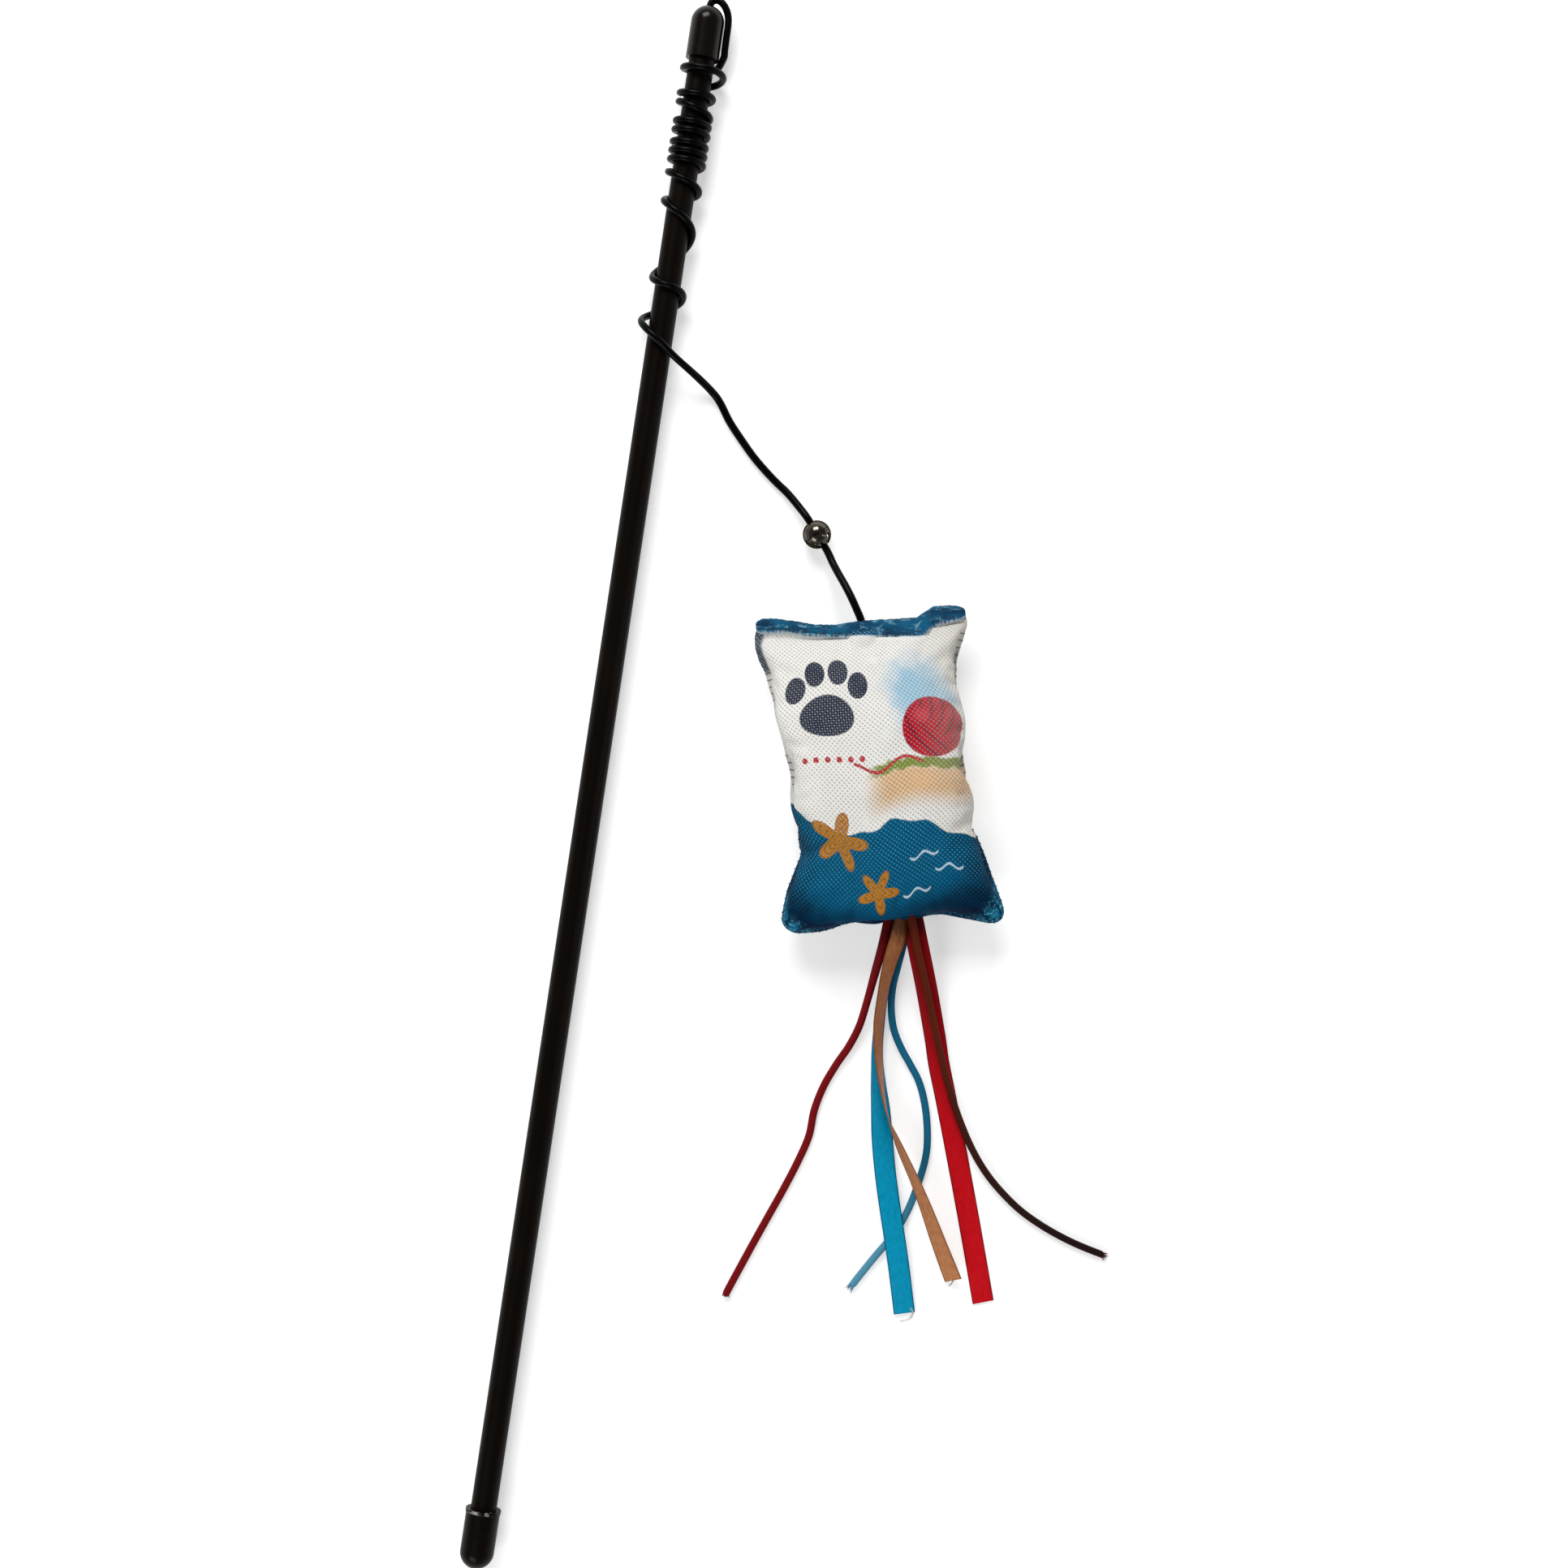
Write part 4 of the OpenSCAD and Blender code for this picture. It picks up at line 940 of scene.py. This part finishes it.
def creased(P, sign):
    """The sheet with creases, puckers along its seams and the unevenness of a stuffed thing."""
    out = P.copy()
    x, y = P[:, :, 0], P[:, :, 1]
    room = np.clip(np.abs(P[:, :, 2]) / 3.5, 0, 1)
    dent = np.zeros_like(x)
    for x0, y0, x1, y1, wide, deep in CREASES:
        if sign < 0:
            x0, x1 = -x0 * 0.97, -x1 * 0.97
        d = np.array([x1 - x0, y1 - y0], float)
        long = np.hypot(*d)
        d /= long
        along = ((x - x0) * d[0] + (y - y0) * d[1]) / long
        off = (x - x0) * -d[1] + (y - y0) * d[0] + 0.7 * np.sin(along * 3.1)
        window = smooth01(along, -0.12, 0.08) * (1 - smooth01(along, 0.35, 1.05))
        banks = [0.42 * np.exp(-((off + k * wide) / (1.5 * wide)) ** 2) for k in (-2.4, 2.4)]
        dent -= deep * window * (np.exp(-(off / wide) ** 2) - banks[0] - banks[1])
    side = np.minimum(np.abs(x - P[:, :1, 0]), np.abs(x - P[:, -1:, 0]))
    low = np.abs(y - P[-1:, :, 1])
    dent += 0.28 * np.sin(y * 1.05 + 1.3 * np.sin(y * 0.31)) * np.exp(-side / 3.2)
    dent += 0.3 * np.sin(x * 1.3 + 1.1 * np.sin(x * 0.37)) * np.exp(-low / 3.0)
    lumps = np.array([[wobble((a, b, sign * 7), 0.085) * 0.9 + wobble((a, b, sign * 3), 0.21) * 0.3
                       for a, b in zip(r, t)] for r, t in zip(x, y)])
    out[:, :, 2] += sign * (dent + lumps * np.clip(np.abs(P[:, :, 2]) / 8, 0, 1)) * room
    return out


def finer(P):
    """Twice as many points each way, on smooth curves through the old ones."""
    for _ in range(2):
        Q = np.concatenate([2 * P[:1] - P[1:2], P, 2 * P[-1:] - P[-2:-1]])
        mid = (-Q[:-3] + 9 * Q[1:-2] + 9 * Q[2:-1] - Q[3:]) / 16
        out = np.zeros((2 * len(P) - 1,) + P.shape[1:])
        out[::2], out[1::2] = P, mid
        P = out.swapaxes(0, 1)
    return P


def normals(P):
    dx, dy = np.gradient(P, axis=1), np.gradient(P, axis=0)
    n = np.cross(dx, dy)
    return -n / np.maximum(norm(n, axis=2), 1e-9)[:, :, None]


def in_row(P):
    """Points of the toy's own frame, in the row's."""
    P = np.asarray(P, float)
    return TOY_AT + P[..., :1] * toy_x + P[..., 1:2] * toy_y + P[..., 2:3] * np.array([0, 0, 1.0])


def double_faces(rows, cols, up):
    """Faces of a grid of points, of a second one after it that faces the other way, and of their rim."""
    N = rows * cols
    grid = np.arange(N).reshape(rows, cols)
    q = np.stack([grid[:-1, :-1], grid[1:, :-1], grid[1:, 1:], grid[:-1, 1:]], 2).reshape(-1, 4)
    rim = np.concatenate([grid[0], grid[1:, -1], grid[-1, -2::-1], grid[-2:0:-1, 0]])
    after = np.roll(rim, -1)
    faces = np.concatenate([np.stack([q, q[:, ::-1] + N], 1).reshape(-1, 4),
                            np.stack([rim, after, after + N, rim + N], 1)])
    return faces if up > 0 else faces[:, ::-1]


def shell(name, P, up):
    """A closed sheet of cloth: P is its outer face, and its inner one lies its thickness below it."""
    n = normals(P)
    if n[len(n) // 2, n.shape[1] // 2, 2] * up < 0:
        n = -n
    verts = np.concatenate([P.reshape(-1, 3), (P - n * CLOTH).reshape(-1, 3)])
    faces = double_faces(*P.shape[:2], up)
    uv = np.stack([flat_x / 100 + 0.5, flat_y / 100 + 1], 2).reshape(-1, 2)
    return to_object(name, in_row(verts), faces.tolist(), uv[faces % len(uv)], print_mat)


def roomy(P, sign):
    """The sheet with a way out for the streamers in the lower seam, and room for the knot under the hem."""
    out = P.copy()
    x, y = P[:, :, 0], P[:, :, 1]
    mouth = np.interp(x, [-4.3, 0, 4.3, 8.6, 12.8], [0, 2.4, 2.7, 1.7, 0]) * smooth01(-y, 84, 93.5) ** 2
    lump = 3.7 * np.exp(-(x / 4.2) ** 4) * smooth01(-y, 3.0, 6.0) * (1 - smooth01(-y, 13.0, 19.0))
    out[:, :, 2] = sign * np.maximum(np.maximum(sign * P[:, :, 2], mouth), lump)
    return out


front, back = fitted(*blown())
flat_x, flat_y = [finer(a[:, :, None])[:, :, 0] for a in flat_grid()[:2]]
front, back = creased(finer(front), 1), creased(finer(back), -1)
back[:, :, 2] = np.maximum(back[:, :, 2], FLOOR - TOY_AT[2] + CLOTH_CLEAR)  # the belly rests flat
front, back = roomy(front, 1), roomy(back, -1)
toy_front, toy_back = shell("toy_front", front, 1), shell("toy_back", back, -1)


def hem_piece():
    """The folded band that closes the toy's top, with a turned-up right corner."""
    x0, x1, r = -32.2, 32.0, 2.4
    section = [(-1.0, 0.45), (-0.94, 0.92), (-0.72, 1.14), (-0.4, 1.12), (0.0, 0.98), (0.35, 1.0),
               (0.65, 0.93), (0.85, 0.7), (0.97, 0.38), (1.0, 0)]
    loop = section + [(a, -b) for a, b in section[-2::-1]]
    turn = np.linspace(0, pi / 2, 11)
    xs = np.concatenate([x0 + r - r * np.cos(turn)[:-1], np.linspace(x0 + r, x1 - r, 186),
                         x1 - r + r * np.sin(turn)[1:]])
    rings = []
    for x in xs:
        fuzz = 0.22 * wobble((x * 1.9, 0, 3), 1) + 0.25 * wobble((x * 0.6, 8, 3), 1)
        end = sqrt(max(0.0, 1 - max(0, (x0 + r - x) / r, (x - x1 + r) / r) ** 2))
        y1, y0 = np.interp(x, *HEM_TOP) + 0.15 + fuzz * 0.7, np.interp(x, *HEM_LOW) - 0.15 + fuzz
        mid, half = (y0 + y1) / 2, (y1 - y0) / 2 * (0.35 + 0.65 * end)
        fold = exp(-((x - 19.6) / 1.5) ** 2)
        crease = exp(-((x - 21.8) / 0.8) ** 2)
        cordy = exp(-(x / 2.4) ** 2)
        t = 1.45 + 0.3 * wobble((x * 0.3, 5, 0), 1) + 0.85 * cordy + 0.9 * fold - 0.5 * crease
        t *= max(0.2, end)
        bow = 0.14 * np.array([sin(x * 1.7 + 5 * a) for a, b in loop])
        rings.append([(x, mid + half * a, t * b + copysign(c, b) * (abs(b) > 0.5))
                      for (a, b), c in zip(loop, bow)])
    P = np.array(rings)
    n = P.shape[1]
    v, f, _ = lattice(in_row(P)[:, ::-1], [0] * (n + 1), [0] * len(P))
    share = np.linspace(1, 0, n)
    uv = [(x / 100 + 0.5, w) for x in xs for w in share]
    return to_object("toy_hem", v, f, [uv[k] for q in f for k in q], hem_mat)


hem = hem_piece()


def stitches():
    """Whip stitches along the toy's sides and lower seam."""
    parts = []
    rows, cols = front.shape[:2]
    along = [(j, 0, j, 3) for j in range(12, rows - 3)]
    along += [(j, cols - 1, j, cols - 4) for j in range(12, rows - 3)]
    along += [(rows - 1, i, rows - 4, i) for i in range(3, cols - 3)]
    last = None
    for j, i, jj, ii in along:
        p = front[j, i]
        if last is not None and norm(p - last) < 1.7:
            continue
        last = p
        if j == rows - 1 and -5 < p[0] < 13.5:
            continue
        a, b = front[jj, ii], back[jj, ii]
        out = unit(p - (a + b) / 2)
        skew = np.array([0, 0.5, 0]) if j != rows - 1 else np.array([0.5, 0, 0])
        line = spline([a + [0, 0, 0.02], p + out * 0.1 + skew * 0.5, b + skew - [0, 0, 0.02]], 0.3)
        parts.append(tube_parts(in_row(line), 0.12, 6))
    return to_object("seam_stitches", *joined(parts), thread_mat)


seam = stitches()


def hem_stitches():
    """Short running stitches on both faces of the hem."""
    parts = []
    for side in (-1, 1):
        for k in range(5):
            x0 = side * (7.5 + 5 * k)
            y0 = (np.interp(x0, *HEM_TOP) + 2 * np.interp(x0, *HEM_LOW)) / 3
            for face in (-1, 1):
                ends, middle = face * (1.62 - 0.5), face * (1.62 + 0.05)
                line = spline([[x0 - 1.5, y0, ends], [x0 - 0.9, y0 + 0.05, middle],
                               [x0 + 0.9, y0 + 0.1, middle], [x0 + 1.5, y0 + 0.1, ends]], 0.3)
                parts.append(tube_parts(in_row(line), 0.15, 8))
    return to_object("hem_stitches", *joined(parts), thread_mat)


hem_thread = hem_stitches()


def filling_piece():
    """A soft lump that fills the pouch."""
    inner_f, inner_b = front[16:-9:2, 5:-5:2].copy(), back[16:-9:2, 5:-5:2].copy()
    for s, sign in ((inner_f, 1), (inner_b, -1)):
        s[:, :, 2] -= sign * 1.3
        s[:, :, 0] *= 0.96
        s[:, :, 1] = (s[:, :, 1] + 48) * 0.965 - 48
        for p in s.reshape(-1, 3):
            p[2] -= sign * 0.5 * (0.5 + wobble(p, 0.4))
    mid = (inner_f + inner_b) / 2
    swap = inner_f[:, :, 2] < inner_b[:, :, 2] + 0.3
    inner_f[swap, 2], inner_b[swap, 2] = mid[swap, 2] + 0.15, mid[swap, 2] - 0.15
    verts = np.concatenate([inner_f.reshape(-1, 3), inner_b.reshape(-1, 3)])
    faces = double_faces(*inner_f.shape[:2], 1)
    uv = (verts[:, :2] / 100 + [0.5, 1])[faces]
    return to_object("toy_filling", in_row(verts), faces.tolist(), uv, filling_mat)


filling = filling_piece()
for piece, slot, *nodes in ((toy_front, "toy_print", "toy_front_panel"),
                            (toy_back, "toy_print", "toy_back_panel"), (hem, "toy_print"),
                            (seam, "thread"), (hem_thread, "thread", "closing_thread"),
                            (filling, "filling", "toy_stuffing")):
    if nodes:
        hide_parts(*nodes)
    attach(piece, "toy")

# ---- CAD nodes that stay, with their finish
for node, mat in {
        "rod": rod_mat, "handle_cap": handle_mat, "tip_cap": cap_mat, "anchor_knot": knot_mat,
        "cord_end_knot": knot_mat, "bell_upper_shell": bell_mat, "bell_lower_shell": bell_mat,
        "bell_pellet": pellet_mat, "streamer_roots": ends_mat}.items():
    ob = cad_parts[node]
    if not ob.material_slots:
        ob.data.materials.append(mat)
    for holder in ob.material_slots:
        holder.material = mat
